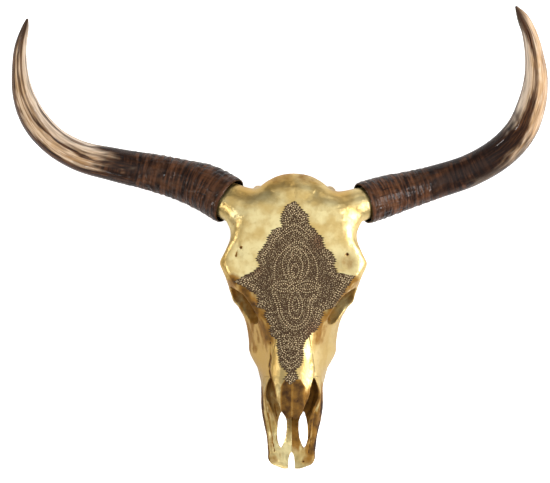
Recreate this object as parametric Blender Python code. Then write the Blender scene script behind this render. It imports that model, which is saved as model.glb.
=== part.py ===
"""A bull's skull without its lower jaw, with its two horn sheaths, lying on its back teeth and on
the processes beside its neck joint.

Units are metres. The skull is drawn with its muzzle at y = 0 and its poll at +y, with x across
and z up from the plane of the forehead. The root empty then stands it on the floor, z = 0, with
the middle of its bounding box over the origin.
"""

import math

import bmesh
import bpy
import numpy as np
from mathutils import Matrix, Vector

# Overall sizes
FLOOR = -0.168  # height of the surface it lies on, under the forehead's plane
JOINT_GAP = 0.0003  # between pieces that touch
SURFACE_STEP = 0.0016  # voxel of the fused bone
SMOOTHING_ROUNDS = 7
SKULL_FACES = 7400
AROUND = 72  # points round a bone's cross section
STATION_STEP = 0.004  # along the skull

# The face and forehead, as pairs of place along the skull and size there
TOP_HEIGHT = ((0.000, -0.066), (0.020, -0.060), (0.050, -0.052), (0.080, -0.036),
              (0.110, -0.020), (0.150, -0.009), (0.210, -0.006), (0.270, -0.004),
              (0.330, 0.000), (0.410, 0.000), (0.435, -0.004), (0.447, -0.011), (0.456, -0.022))
SHOULDER_WIDTH = ((0.000, 0.006), (0.020, 0.020), (0.050, 0.023), (0.080, 0.025),
                  (0.110, 0.027), (0.150, 0.028), (0.210, 0.031), (0.242, 0.037),
                  (0.262, 0.046), (0.300, 0.074), (0.335, 0.088), (0.380, 0.080),
                  (0.410, 0.076), (0.440, 0.062), (0.456, 0.044))
SHOULDER_DROP = ((0.002, 0.001), (0.050, 0.001), (0.110, 0.008), (0.210, 0.007),
                 (0.262, 0.005), (0.335, 0.004), (0.455, 0.002))
SLOPE_WIDTH = ((0.000, 0.010), (0.020, 0.030), (0.050, 0.0345), (0.080, 0.0400),
               (0.100, 0.0440), (0.120, 0.0455), (0.150, 0.0420), (0.200, 0.0460),
               (0.242, 0.0530), (0.262, 0.0640), (0.280, 0.0790), (0.303, 0.0970),
               (0.335, 0.1110), (0.380, 0.0960), (0.410, 0.0940), (0.430, 0.0860),
               (0.445, 0.0720), (0.456, 0.0540))
SLOPE_HEIGHT = ((0.000, -0.067), (0.020, -0.062), (0.050, -0.056), (0.080, -0.050),
                (0.120, -0.037), (0.150, -0.034), (0.200, -0.036), (0.242, -0.022),
                (0.262, -0.017), (0.300, -0.009), (0.335, -0.008), (0.410, -0.011),
                (0.440, -0.016), (0.456, -0.028))
SIDE_WIDTH = ((0.000, 0.0160), (0.005, 0.0300), (0.010, 0.0365), (0.018, 0.0392),
              (0.028, 0.0384), (0.040, 0.0392), (0.060, 0.0430), (0.080, 0.0475), (0.100, 0.0500),
              (0.140, 0.0505), (0.150, 0.0515), (0.162, 0.0560), (0.174, 0.0630),
              (0.189, 0.0702), (0.205, 0.0708), (0.240, 0.0775), (0.251, 0.0820),
              (0.261, 0.0880), (0.270, 0.0970), (0.285, 0.1010), (0.300, 0.1055),
              (0.318, 0.1140), (0.333, 0.1197), (0.350, 0.1115), (0.370, 0.1030),
              (0.385, 0.1030), (0.395, 0.1075), (0.405, 0.1130), (0.418, 0.1080),
              (0.430, 0.0970), (0.445, 0.0810), (0.456, 0.0600))
SIDE_HEIGHT = ((0.000, -0.069), (0.050, -0.065), (0.100, -0.063), (0.150, -0.064),
               (0.190, -0.084), (0.240, -0.080), (0.275, -0.068), (0.300, -0.045),
               (0.318, -0.024), (0.335, -0.018), (0.380, -0.026), (0.440, -0.032),
               (0.456, -0.034))
LOWER_WIDTH = ((0.000, 0.011), (0.020, 0.033), (0.060, 0.0390), (0.100, 0.0450),
               (0.150, 0.0510), (0.194, 0.0660), (0.240, 0.0730), (0.270, 0.0870),
               (0.300, 0.0980), (0.325, 0.1000), (0.380, 0.0880), (0.430, 0.0840),
               (0.456, 0.0560))
LOWER_HEIGHT = ((0.000, -0.073), (0.050, -0.074), (0.096, -0.082), (0.150, -0.094),
                (0.194, -0.106), (0.240, -0.106), (0.270, -0.092), (0.300, -0.070),
                (0.322, -0.038), (0.335, -0.034), (0.380, -0.042), (0.440, -0.048),
                (0.456, -0.044))
BASE_WIDTH = ((0.000, 0.006), (0.020, 0.0200), (0.060, 0.0260), (0.096, 0.0330),
              (0.135, 0.0470), (0.194, 0.0600), (0.262, 0.0650), (0.285, 0.0560),
              (0.335, 0.0620), (0.440, 0.0660), (0.456, 0.0400))
BASE_HEIGHT = ((0.000, -0.074), (0.050, -0.078), (0.096, -0.096), (0.120, -0.117),
               (0.135, -0.124), (0.194, -0.140), (0.258, -0.153), (0.272, -0.146),
               (0.296, -0.096), (0.322, -0.052), (0.335, -0.048), (0.440, -0.064),
               (0.456, -0.054))
FLOOR_HEIGHT = ((0.000, -0.074), (0.050, -0.077), (0.096, -0.088), (0.135, -0.103),
                (0.194, -0.120), (0.262, -0.134), (0.276, -0.130), (0.300, -0.098),
                (0.322, -0.056), (0.335, -0.052), (0.440, -0.064), (0.456, -0.054))
POLL_CENTRE = Vector((0.0, 0.4395, -0.036))
POLL_RADII = (0.0620, 0.0388, 0.0330)

# The braincase under the forehead
BRAIN_WIDTH = ((0.276, 0.032), (0.310, 0.040), (0.350, 0.052), (0.400, 0.060), (0.425, 0.070),
               (0.438, 0.074), (0.449, 0.068), (0.460, 0.050))
BRAIN_HEIGHT = ((0.276, -0.070), (0.350, -0.062), (0.400, -0.062), (0.446, -0.072),
                (0.460, -0.076))
BRAIN_BASE_WIDTH = ((0.276, 0.016), (0.350, 0.020), (0.400, 0.026), (0.446, 0.046),
                    (0.460, 0.036))
BRAIN_BASE_HEIGHT = ((0.276, -0.116), (0.330, -0.114), (0.400, -0.120), (0.446, -0.126),
                     (0.460, -0.114))
BRAIN_TOP = -0.028

# The eye socket
ORBIT_CENTRE = Vector((0.0755, 0.2675, -0.0430))
ORBIT_FACING = Vector((0.78, -0.58, 0.28)).normalized()
ORBIT_RADII = (0.0365, 0.0300)  # along the skull and upright
ORBIT_DEPTH = 0.054
RIM_SPREAD = 0.0025  # of the rim's bar beyond the opening
RIM_THICKNESS = 0.0050

# The cheek arch from the socket back to the ear
ARCH_PATH = ((0.056, 0.215, -0.090), (0.079, 0.258, -0.086), (0.0960, 0.290, -0.082),
             (0.104, 0.316, -0.082), (0.101, 0.348, -0.085), (0.092, 0.378, -0.084),
             (0.079, 0.402, -0.079), (0.064, 0.420, -0.076))
ARCH_SIZES = ((0.0050, 0.0100), (0.0070, 0.0140), (0.0065, 0.0150), (0.0055, 0.0130),
              (0.0045, 0.0100), (0.0050, 0.0100), (0.0085, 0.0120), (0.0110, 0.0150))
BAR_PATH = ((0.1035, 0.320, -0.016), (0.1035, 0.314, -0.046), (0.0970, 0.303, -0.078))
BAR_SIZES = ((0.0080, 0.0160), (0.0065, 0.0140), (0.0080, 0.0170))

# The neck joint and the base of the skull
CONDYLE_CENTRE = Vector((0.0250, 0.455, -0.113))
CONDYLE_RADII = (0.0170, 0.0160, 0.0250)
FORAMEN_CENTRE = Vector((0.0, 0.474, -0.093))
FORAMEN_RADII = (0.018, 0.040, 0.018)
PROCESS_PATH = ((0.052, 0.432, -0.080), (0.058, 0.440, -0.118), (0.055, 0.436, -0.172))
PROCESS_SIZES = ((0.0250, 0.0260), (0.0130, 0.0190), (0.0065, 0.0110))
BULLA_CENTRE = Vector((0.035, 0.398, -0.118))
BULLA_RADII = (0.011, 0.019, 0.020)
PTERYGOID_CENTRE = Vector((0.023, 0.290, -0.120))
PTERYGOID_RADII = (0.0055, 0.040, 0.030)
CHOANA_CENTRE = Vector((0.0, 0.302, -0.130))
CHOANA_RADII = (0.018, 0.046, 0.020)

# The nose: its air way, the notch and the two long holes between the muzzle bones
CAVITY_WIDTH = ((0.030, 0.0140), (0.040, 0.0215), (0.060, 0.0290), (0.080, 0.0330),
                (0.095, 0.0370), (0.108, 0.0430), (0.118, 0.0465), (0.128, 0.0445),
                (0.138, 0.0405), (0.149, 0.0340), (0.160, 0.0290), (0.215, 0.0210))
CAVITY_TOP = ((0.030, 0.020), (0.147, 0.020), (0.151, -0.019), (0.215, -0.026))
CAVITY_FLOOR = ((0.030, -0.054), (0.042, -0.066), (0.060, -0.070), (0.100, -0.076),
                (0.130, -0.082), (0.215, -0.088))
HOLE_OUTLINE = ((0.0172, 0.0935), (0.0122, 0.0845), (0.0098, 0.0770), (0.0098, 0.0640),
                (0.0114, 0.0510), (0.0150, 0.0410), (0.0182, 0.0345), (0.0212, 0.0380),
                (0.0240, 0.0475), (0.0248, 0.0590), (0.0238, 0.0720), (0.0218, 0.0830),
                (0.0195, 0.0900))
HOLE_LEAN = 0.0013  # both holes lie this far towards the right
HOLE_FLOOR = -0.12  # below all of the muzzle
NOTCH_OUTLINE = ((0.0052, -0.010), (0.0052, 0.008), (0.0042, 0.019), (0.0020, 0.0260))
NOTCH_END = 0.0275
NASAL_WIDTH = ((0.0810, 0.0080), (0.0880, 0.0135), (0.0950, 0.0185), (0.1030, 0.0210),
               (0.1100, 0.0245), (0.1200, 0.0285), (0.1350, 0.0310), (0.1500, 0.0345),
               (0.1700, 0.0350))
NASAL_TOP = ((0.081, -0.0170), (0.100, -0.0125), (0.135, -0.0095), (0.170, -0.0075))
NASAL_ARCH = 0.012  # drop of its edges at full width
NASAL_THICKNESS = 0.0065
NASAL_FULL_WIDTH = 0.035
NASAL_TIP_NOTCH = ((0.0, 0.0945), (-0.0035, 0.0700), (0.0035, 0.0700))
NASAL_CUT_WIDTH = ((0.060, 0.0355), (0.165, 0.0355), (0.200, 0.0290), (0.236, 0.0190),
                   (0.264, 0.0010))
NASAL_CUT_DEPTH = -0.0265
ABOVE_ALL = 0.05  # of the bone
BELOW_ALL = -0.3
HALF_SPAN = 0.2  # wider than the bone on each side
MUZZLE_CUT = ((0.084, -0.120), (0.090, -0.086), (0.118, -0.062), (0.150, -0.040))
MUZZLE_TOP = -0.0285
MUZZLE_FRONT = -0.02
SKULL_END = 0.6

# The cheek teeth, three premolars and three molars a side: length along the jaw
TOOTH_LENGTHS = (0.0150, 0.0165, 0.0175, 0.0240, 0.0270, 0.0300)
TOOTH_WIDTHS = (0.0140, 0.0160, 0.0175, 0.0205, 0.0215, 0.0205)
TOOTH_GAP = 0.0007
FIRST_TOOTH_Y = 0.128
ROW_X = ((0.128, 0.0410), (0.180, 0.0495), (0.262, 0.0545))
CROWN_FLOOR = ((0.128, -0.1330), (0.200, -0.1520), (0.232, -0.1660), (0.237, -0.1690),
               (0.270, -0.1690))
ROOT_TOP = ((0.128, -0.1050), (0.270, -0.1380))

# The horns: path points with the outside radius there, from the rim to the tip
HORN_SEGMENTS = 24
HORN_STATIONS = 27
LEFT_HORN = (((-0.1040, 0.4325, -0.044), 0.0400), ((-0.1430, 0.4535, -0.063), 0.0388),
             ((-0.1850, 0.4667, -0.076), 0.0340), ((-0.2270, 0.4771, -0.082), 0.0310),
             ((-0.2900, 0.4894, -0.082), 0.0278), ((-0.3520, 0.5052, -0.070), 0.0250),
             ((-0.3895, 0.5267, -0.055), 0.0235), ((-0.4185, 0.5581, -0.034), 0.0225),
             ((-0.4367, 0.5968, -0.010), 0.0186), ((-0.4432, 0.6391, 0.014), 0.0136),
             ((-0.4407, 0.6819, 0.038), 0.0099), ((-0.4340, 0.7070, 0.053), 0.0062),
             ((-0.4305, 0.7205, 0.061), 0.0020))
RIGHT_HORN = (((0.1115, 0.4305, -0.044), 0.0352), ((0.1478, 0.4424, -0.060), 0.0342),
              ((0.1875, 0.4538, -0.072), 0.0306), ((0.2270, 0.4658, -0.078), 0.0282),
              ((0.2857, 0.4864, -0.078), 0.0272), ((0.3384, 0.5194, -0.066), 0.0268),
              ((0.3654, 0.5508, -0.050), 0.0260), ((0.3809, 0.5893, -0.028), 0.0240),
              ((0.3874, 0.6304, -0.004), 0.0204), ((0.3837, 0.6719, 0.021), 0.0160),
              ((0.3727, 0.7119, 0.046), 0.0122), ((0.3634, 0.7305, 0.057), 0.0098),
              ((0.3525, 0.7480, 0.068), 0.0020))
ROOT_START = (0.0450, 0.4100, -0.041)  # of the core inside the forehead, on the right
ROOT_SHARE = 0.80  # of the horn's rim radius, where the core leaves the bone
ROOT_SPREAD = 0.0070  # more at its start
ROOT_REACH = 0.008  # into the sheath's mouth
CORE_SHARE = ((0.0, 0.74), (0.040, 0.70), (0.070, 0.58), (0.100, 0.36))
SHEATH_WALL = 0.0038
MOUTH_DEPTH = 0.022  # how far in the sheath stands clear of its core

# Finishes: colour, metallic, roughness
FINISHES = {
    "gold": ((0.64, 0.46, 0.17), 1.0, 0.32),
    "horn": ((0.16, 0.075, 0.035), 0.0, 0.28),
}


def finish(name):
    """The material of this finish, made the first time that it is asked for."""
    found = bpy.data.materials.get(name)
    if found:
        return found
    colour, metallic, roughness = FINISHES[name]
    made = bpy.data.materials.new(name)
    made.use_nodes = True
    shader = made.node_tree.nodes["Principled BSDF"]
    shader.inputs["Base Color"].default_value = (*colour, 1.0)
    shader.inputs["Metallic"].default_value = metallic
    shader.inputs["Roughness"].default_value = roughness
    return made


def add_object(name, mesh):
    """A new object with this mesh, in the scene."""
    obj = bpy.data.objects.new(name, mesh)
    bpy.context.scene.collection.objects.link(obj)
    return obj


def discard(objects):
    """Removes helpers that have done their work."""
    for obj in objects:
        bpy.data.objects.remove(obj, do_unlink=True)


def through(pairs, places):
    """The sizes at these places, on a smooth curve through the pairs of place and size."""
    knots = np.array([pair[0] for pair in pairs])
    values = np.array([pair[1] for pair in pairs])
    slopes = np.gradient(values, knots, axis=0)
    places = np.clip(places, knots[0], knots[-1])
    start = np.clip(np.searchsorted(knots, places, side="right") - 1, 0, len(knots) - 2)
    span = knots[start + 1] - knots[start]
    t = (places - knots[start]) / span
    if values.ndim > 1:
        t, span = t[..., None], span[..., None]
    return ((2 * t**3 - 3 * t**2 + 1) * values[start] + (t**3 - 2 * t**2 + t) * span * slopes[start]
            + (3 * t**2 - 2 * t**3) * values[start + 1] + (t**3 - t**2) * span * slopes[start + 1])


def ring_through(corners, count):
    """A closed smooth curve through the corners of one half of a section, mirrored across x = 0."""
    half = np.array(corners)
    mirrored = half[-2:0:-1] * (-1, 1)
    loop = np.vstack([half, mirrored])
    ahead, behind = np.roll(loop, -1, axis=0), np.roll(loop, 1, axis=0)
    lengths = np.linalg.norm(ahead - loop, axis=1)
    knots = np.concatenate([[0.0], np.cumsum(lengths)])
    tangents = (ahead - behind) / (lengths + np.roll(lengths, 1))[:, None]
    places = np.linspace(0.0, knots[-1], count, endpoint=False)
    i = np.searchsorted(knots, places, side="right") - 1
    after = (i + 1) % len(loop)
    span = lengths[i][:, None]
    t = ((places - knots[i]) / lengths[i])[:, None]
    return ((2 * t**3 - 3 * t**2 + 1) * loop[i] + (t**3 - 2 * t**2 + t) * span * tangents[i]
            + (3 * t**2 - 2 * t**3) * loop[after] + (t**3 - t**2) * span * tangents[after])


def skin(name, rings):
    """A closed mesh through rings of points, with flat caps, its faces pointing out."""
    count = len(rings[0])
    bm = bmesh.new()
    made = [[bm.verts.new(point) for point in ring] for ring in rings]
    for lower, upper in zip(made, made[1:]):
        for i in range(count):
            j = (i + 1) % count
            bm.faces.new((lower[i], lower[j], upper[j], upper[i]))
    bm.faces.new(made[0][::-1])
    bm.faces.new(made[-1])
    bmesh.ops.recalc_face_normals(bm, faces=bm.faces)
    mesh = bpy.data.meshes.new(name)
    bm.to_mesh(mesh)
    bm.free()
    return add_object(name, mesh)


def stations(start, end, step=STATION_STEP):
    """Evenly spaced places from start to end."""
    return np.linspace(start, end, max(3, round((end - start) / step) + 1))


def face_and_forehead():
    """The long roof of the skull: muzzle, cheeks, forehead and poll in one loft."""
    rings = []
    for y in stations(TOP_HEIGHT[0][0], TOP_HEIGHT[-1][0]):
        top = through(TOP_HEIGHT, y)
        corners = (
            (0.0, top),
            (through(SHOULDER_WIDTH, y), top - through(SHOULDER_DROP, y)),
            (through(SLOPE_WIDTH, y), through(SLOPE_HEIGHT, y)),
            (through(SIDE_WIDTH, y), through(SIDE_HEIGHT, y)),
            (through(LOWER_WIDTH, y), through(LOWER_HEIGHT, y)),
            (through(BASE_WIDTH, y), through(BASE_HEIGHT, y)),
            (0.0, through(FLOOR_HEIGHT, y)),
        )
        rings.append([(x, y, z) for x, z in ring_through(corners, AROUND)])
    return skin("face", rings)


def braincase():
    """The narrow box of the brain, flaring to the crest at the neck."""
    rings = []
    for y in stations(BRAIN_WIDTH[0][0], BRAIN_WIDTH[-1][0]):
        width, height = through(BRAIN_WIDTH, y), through(BRAIN_HEIGHT, y)
        base_width, base_height = through(BRAIN_BASE_WIDTH, y), through(BRAIN_BASE_HEIGHT, y)
        corners = ((0.0, BRAIN_TOP), (0.8 * width, 0.5 * (BRAIN_TOP + height)), (width, height),
                   (0.5 * (width + base_width), 0.4 * height + 0.6 * base_height),
                   (base_width, base_height), (0.0, base_height - 0.004))
        rings.append([(x, y, z) for x, z in ring_through(corners, AROUND)])
    return skin("braincase", rings)


def ellipsoid(name, centre, radii, turn=None, segments=40):
    """An ellipsoid with its own axes along the columns of turn."""
    bm = bmesh.new()
    bmesh.ops.create_uvsphere(bm, u_segments=segments, v_segments=segments // 2, radius=1.0)
    shape = Matrix.Diagonal((*radii, 1.0))
    turned = turn.to_4x4() if turn else Matrix.Identity(4)
    bmesh.ops.transform(bm, matrix=Matrix.Translation(centre) @ turned @ shape, verts=bm.verts)
    mesh = bpy.data.meshes.new(name)
    bm.to_mesh(mesh)
    bm.free()
    return add_object(name, mesh)


def swept(name, path, sizes, tilts=None, step=STATION_STEP, segments=28):
    """An oval bar along a smooth path. Sizes are its half widths, across and upright."""
    points = np.array(path, float)
    lengths = np.linalg.norm(np.diff(points, axis=0), axis=1)
    knots = np.concatenate([[0.0], np.cumsum(lengths)])
    places = stations(0.0, knots[-1], step)
    centres = through(list(zip(knots, points)), places)
    halves = through(list(zip(knots, np.array(sizes, float))), places)
    turned = np.zeros(len(places)) if tilts is None else through(list(zip(knots, tilts)), places)
    along = np.gradient(centres, axis=0)
    rings = []
    for centre, half, tilt, ahead in zip(centres, halves, turned, along):
        ahead = Vector(ahead).normalized()
        guide = Vector((0, 0, 1)) if abs(ahead.z) < 0.8 else Vector((0, 1, 0))
        across = ahead.cross(guide).normalized()
        upright = across.cross(ahead)
        side = across * math.cos(tilt) + upright * math.sin(tilt)
        rise = upright * math.cos(tilt) - across * math.sin(tilt)
        angles = [2 * math.pi * k / segments for k in range(segments)]
        rings.append([Vector(centre) + side * half[0] * math.cos(a) + rise * half[1] * math.sin(a)
                      for a in angles])
    return skin(name, rings)


def ring_bar(name, centre, facing, radii, thickness, segments=48, sides=16):
    """A round bar bent into an oval ring: the rim of a socket."""
    turn = socket_frame(facing).to_4x4()
    bm = bmesh.new()
    loops = []
    for i in range(segments):
        a = 2 * math.pi * i / segments
        spoke = Vector((radii[0] * math.cos(a), radii[1] * math.sin(a), 0.0))
        outward = Vector((math.cos(a), math.sin(a), 0.0)) * thickness
        loops.append([bm.verts.new(spoke + outward * math.cos(b)
                                   + Vector((0, 0, thickness * math.sin(b))))
                      for b in (2 * math.pi * j / sides for j in range(sides))])
    for i in range(segments):
        here, after = loops[i], loops[(i + 1) % segments]
        for j in range(sides):
            k = (j + 1) % sides
            bm.faces.new((here[j], after[j], after[k], here[k]))
    bmesh.ops.transform(bm, matrix=Matrix.Translation(centre) @ turn, verts=bm.verts)
    bmesh.ops.recalc_face_normals(bm, faces=bm.faces)
    mesh = bpy.data.meshes.new(name)
    bm.to_mesh(mesh)
    bm.free()
    return add_object(name, mesh)


def socket_frame(facing):
    """Axes of an eye socket: along the skull, upright, and out of the opening."""
    along = Vector((0, 0, 1)).cross(facing).normalized()
    return Matrix((along, facing.cross(along), facing)).transposed()


def mirrored(obj):
    """A copy of the object on the other side of x = 0."""
    mesh = obj.data.copy()
    mesh.transform(Matrix.Diagonal((-1, 1, 1, 1)))
    mesh.flip_normals()
    return add_object(obj.name + "_mirrored", mesh)


def both_sides(obj):
    """The object and its mirror copy."""
    return [obj, mirrored(obj)]


def prism(name, outline, axis, low, high):
    """A solid made by extruding a flat outline along the axis, "X" or "Z", from low to high."""
    def place(point, level):
        return (level, *point) if axis == "X" else (*point, level)

    return skin(name, [[place(p, low) for p in outline], [place(p, high) for p in outline]])


def evaluated_mesh(obj):
    """The object's mesh with its modifiers applied."""
    graph = bpy.context.evaluated_depsgraph_get()
    return bpy.data.meshes.new_from_object(obj.evaluated_get(graph))


def apply_modifiers(obj):
    """Replaces the object's mesh by its evaluated one."""
    obj.data = evaluated_mesh(obj)
    obj.modifiers.clear()
    return obj


def combined(target, operation, others, solver="EXACT"):
    """One Boolean with a collection of closed meshes, applied, and its helpers removed."""
    helpers = bpy.data.collections.new("helpers")
    for other in others:
        helpers.objects.link(other)
    boolean = target.modifiers.new(operation.lower(), "BOOLEAN")
    boolean.operation = operation
    boolean.operand_type = "COLLECTION"
    boolean.collection = helpers
    boolean.solver = solver
    apply_modifiers(target)
    discard(others)
    bpy.data.collections.remove(helpers)
    return target


def joined(name, objects):
    """One object with the overlapping meshes of several, for a remesh to fuse."""
    bm = bmesh.new()
    for obj in objects:
        bm.from_mesh(obj.data)
    mesh = bpy.data.meshes.new(name)
    bm.to_mesh(mesh)
    bm.free()
    discard(objects)
    return add_object(name, mesh)


def fused(obj, rounds):
    """Fuses overlapping shapes into one skin of even faces, and rounds it."""
    remesh = obj.modifiers.new("fuse", "REMESH")
    remesh.mode = "VOXEL"
    remesh.voxel_size = SURFACE_STEP
    if rounds:
        smooth = obj.modifiers.new("round", "SMOOTH")
        smooth.factor = 0.5
        smooth.iterations = rounds
    return apply_modifiers(obj)


def largest_body(obj):
    """Keeps only the body with the most faces, and drops loose scraps."""
    bm = bmesh.new()
    bm.from_mesh(obj.data)
    left = set(bm.verts)
    bodies = []
    while left:
        stack = [left.pop()]
        body = set(stack)
        while stack:
            for edge in stack.pop().link_edges:
                for vert in edge.verts:
                    if vert not in body:
                        body.add(vert)
                        stack.append(vert)
        left -= body
        bodies.append(body)
    keep = max(bodies, key=len)
    bmesh.ops.delete(bm, geom=[v for v in bm.verts if v not in keep], context="VERTS")
    bm.to_mesh(obj.data)
    bm.free()
    return obj


def thinned(obj, faces):
    """Fewer faces, with the most where the surface bends."""
    triangles = sum(len(p.vertices) - 2 for p in obj.data.polygons)
    decimate = obj.modifiers.new("thin", "DECIMATE")
    decimate.ratio = min(1.0, faces / triangles)
    return apply_modifiers(obj)


def bone_forms():
    """Every rounded form that the bone is fused from."""
    rim_radii = [radius + RIM_SPREAD for radius in ORBIT_RADII]
    paired = (
        ring_bar("rim", ORBIT_CENTRE, ORBIT_FACING, rim_radii, RIM_THICKNESS),
        swept("arch", ARCH_PATH, ARCH_SIZES),
        swept("bar", BAR_PATH, BAR_SIZES),
        ellipsoid("condyle", CONDYLE_CENTRE, CONDYLE_RADII),
        swept("process", PROCESS_PATH, PROCESS_SIZES),
        ellipsoid("bulla", BULLA_CENTRE, BULLA_RADII),
        ellipsoid("pterygoid", PTERYGOID_CENTRE, PTERYGOID_RADII),
    )
    forms = [face_and_forehead(), braincase(), ellipsoid("poll", POLL_CENTRE, POLL_RADII)]
    for form in paired:
        forms += both_sides(form)
    return forms + [core_root(LEFT_HORN, -1), core_root(RIGHT_HORN, 1)]


def core_start(side):
    """Where a core begins inside the forehead."""
    x, y, z = ROOT_START
    return np.array((side * x, y, z))


def horn_line(horn, reach):
    """Points along the horn's own curve from its rim, to this length, every few millimetres."""
    points = np.array([point for point, radius in horn])
    lengths = np.linalg.norm(np.diff(points, axis=0), axis=1)
    knots = np.concatenate([[0.0], np.cumsum(lengths)])
    return through(list(zip(knots, points)), stations(0.0, reach))


def core_root(horn, side):
    """The thick root of the bony core, as far as the horn's mouth."""
    rim_radius = horn[0][1] * ROOT_SHARE
    path = np.vstack([core_start(side), horn_line(horn, ROOT_REACH)])
    radii = np.full(len(path), rim_radius)
    radii[0] += ROOT_SPREAD
    return swept("root", path, [(r, r) for r in radii])


def core(name, horn, side, spare=0.0):
    """The horn's bony core, or with some spare radius the bore that it sits in."""
    reach = CORE_SHARE[-1][0]
    line = horn_line(horn, reach)
    places = np.concatenate([[0.0], stations(0.0, reach)])
    radii = horn[0][1] * through(CORE_SHARE, places) + spare
    path = np.vstack([core_start(side), line])
    ahead = Vector(path[-1] - path[-2]).normalized()
    path[-1] += np.array(ahead) * spare
    return swept(name, path, [(r, r) for r in radii], step=0.008, segments=HORN_SEGMENTS)


def cavity():
    """The air way of the nose, open at the front and upwards in front of the nasal bones."""
    rings = []
    for y in stations(CAVITY_WIDTH[0][0], CAVITY_WIDTH[-1][0]):
        width = through(CAVITY_WIDTH, y)
        top, bottom = through(CAVITY_TOP, y), through(CAVITY_FLOOR, y)
        angles = np.linspace(0.0, 2 * np.pi, AROUND, endpoint=False)
        wide = np.sign(np.cos(angles)) * np.abs(np.cos(angles)) ** 0.7
        tall = np.sign(np.sin(angles)) * np.abs(np.sin(angles)) ** 0.7
        middle, half = 0.5 * (top + bottom), 0.5 * (top - bottom)
        rings.append([(width * w, y, middle + half * t) for w, t in zip(wide, tall)])
    return skin("cavity", rings)


def nasal_plate():
    """The arched roof of the nose, tapering to a blunt tip that stands free over the opening."""
    rings = []
    for y in stations(NASAL_WIDTH[0][0], NASAL_WIDTH[-1][0]):
        width, top = through(NASAL_WIDTH, y), through(NASAL_TOP, y)
        across = np.linspace(-1.0, 1.0, AROUND // 2)
        drop = NASAL_ARCH * (np.abs(across) * width / NASAL_FULL_WIDTH) ** 2
        thickness = NASAL_THICKNESS * (1.0 - 0.35 * across**2)
        upper = [(width * a, y, top - d) for a, d in zip(across, drop)]
        lower = [(width * a, y, top - d - t) for a, d, t in zip(across, drop, thickness)]
        rings.append(upper + lower[::-1])
    return skin("nasal", rings)


def muzzle_holes():
    """The two long holes in the roof of the mouth and the notch at the muzzle."""
    outlines = [[(side * x + HOLE_LEAN, y) for x, y in HOLE_OUTLINE[::side]] for side in (-1, 1)]
    outlines.append([*NOTCH_OUTLINE, (0.0, NOTCH_END), *[(-x, y) for x, y in NOTCH_OUTLINE[::-1]]])
    return [prism("hole", outline, "Z", HOLE_FLOOR, MUZZLE_TOP) for outline in outlines]


def whole_skull():
    """All the bone as one smooth body of few faces, with its sockets and air ways cut."""
    skull = fused(joined("cranium", bone_forms()), 0)
    socket = ellipsoid("socket", ORBIT_CENTRE, (*ORBIT_RADII, ORBIT_DEPTH),
                       socket_frame(ORBIT_FACING))
    cutters = [
        *both_sides(socket),
        cavity(),
        ellipsoid("foramen", FORAMEN_CENTRE, FORAMEN_RADII),
        ellipsoid("choana", CHOANA_CENTRE, CHOANA_RADII),
    ]
    for cutter in cutters:
        combined(skull, "DIFFERENCE", [cutter], "MANIFOLD")
    plate = nasal_plate()
    combined(plate, "DIFFERENCE", [prism("tips", NASAL_TIP_NOTCH, "Z", BELOW_ALL, ABOVE_ALL)])
    skull = fused(joined("cranium", [skull, plate]), SMOOTHING_ROUNDS)
    thinned(largest_body(skull), SKULL_FACES)
    return combined(skull, "DIFFERENCE", muzzle_holes())


def nasal_outline(spare):
    """The seam round both nasal bones, seen from above."""
    ys = stations(NASAL_CUT_WIDTH[0][0], NASAL_CUT_WIDTH[-1][0] + spare, 0.014)
    widths = through(NASAL_CUT_WIDTH, ys) + spare
    return [(w, y) for w, y in zip(widths, ys)] + [(-w, y) for w, y in zip(widths, ys)][::-1]


def muzzle_outline(spare):
    """The seam behind the premaxillae, seen from the side as y and z."""
    rear = [(y + spare, z - 0.6 * spare) for y, z in MUZZLE_CUT]
    low, high = HOLE_FLOOR, MUZZLE_TOP + spare
    return [(MUZZLE_FRONT, low), (rear[0][0], low), *rear, (rear[-1][0], high),
            (MUZZLE_FRONT, high)]


def side_box(side, spare):
    """A block that holds one side of the skull, to part a pair of bones at the middle."""
    low, high = sorted((side * spare, side * HALF_SPAN))
    outline = [(MUZZLE_FRONT, BELOW_ALL), (SKULL_END, BELOW_ALL), (SKULL_END, ABOVE_ALL),
               (MUZZLE_FRONT, ABOVE_ALL)]
    return prism("side", outline, "X", low, high)


def part_pair(skull, name, outline, axis, low, high):
    """Cuts a pair of bones out of the skull along its seam. Returns the left and right one."""
    half_gap = 0.5 * JOINT_GAP
    pair = []
    for word, side in (("left", -1), ("right", 1)):
        bone = add_object(f"{name}_{word}", skull.data.copy())
        combined(bone, "INTERSECT", [prism("seam", outline(-half_gap), axis, low, high)])
        combined(bone, "INTERSECT", [side_box(side, half_gap)])
        pair.append(largest_body(bone))
    if axis == "Z":
        low -= JOINT_GAP
    combined(skull, "DIFFERENCE", [prism("seam", outline(half_gap), axis, low, high)])
    return pair


def tooth(index, start, side):
    """One cheek tooth: two rounded lobes, flat below, its root sunk in the jaw."""
    length, width = TOOTH_LENGTHS[index], TOOTH_WIDTHS[index]
    middle = start + 0.5 * length
    lobes = 1 if index < 3 else 2
    outline = []
    for k in range(16):
        a = 2 * math.pi * k / 16
        waist = 1.0 - 0.16 * (lobes - 1) * math.exp(-((math.cos(a) / 0.35) ** 2))
        outline.append((0.5 * width * waist * math.copysign(abs(math.sin(a)) ** 0.6, math.sin(a)),
                        0.5 * length * math.copysign(abs(math.cos(a)) ** 0.6, math.cos(a))))
    centre_x = side * through(ROW_X, middle)
    rings = []
    for level, scale in ((ROOT_TOP, 0.94), (CROWN_FLOOR, 1.0)):
        rings.append([(centre_x + side * x * scale, middle + y * scale,
                       float(through(level, middle + y * scale))) for x, y in outline])
    return skin("tooth", rings)


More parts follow.
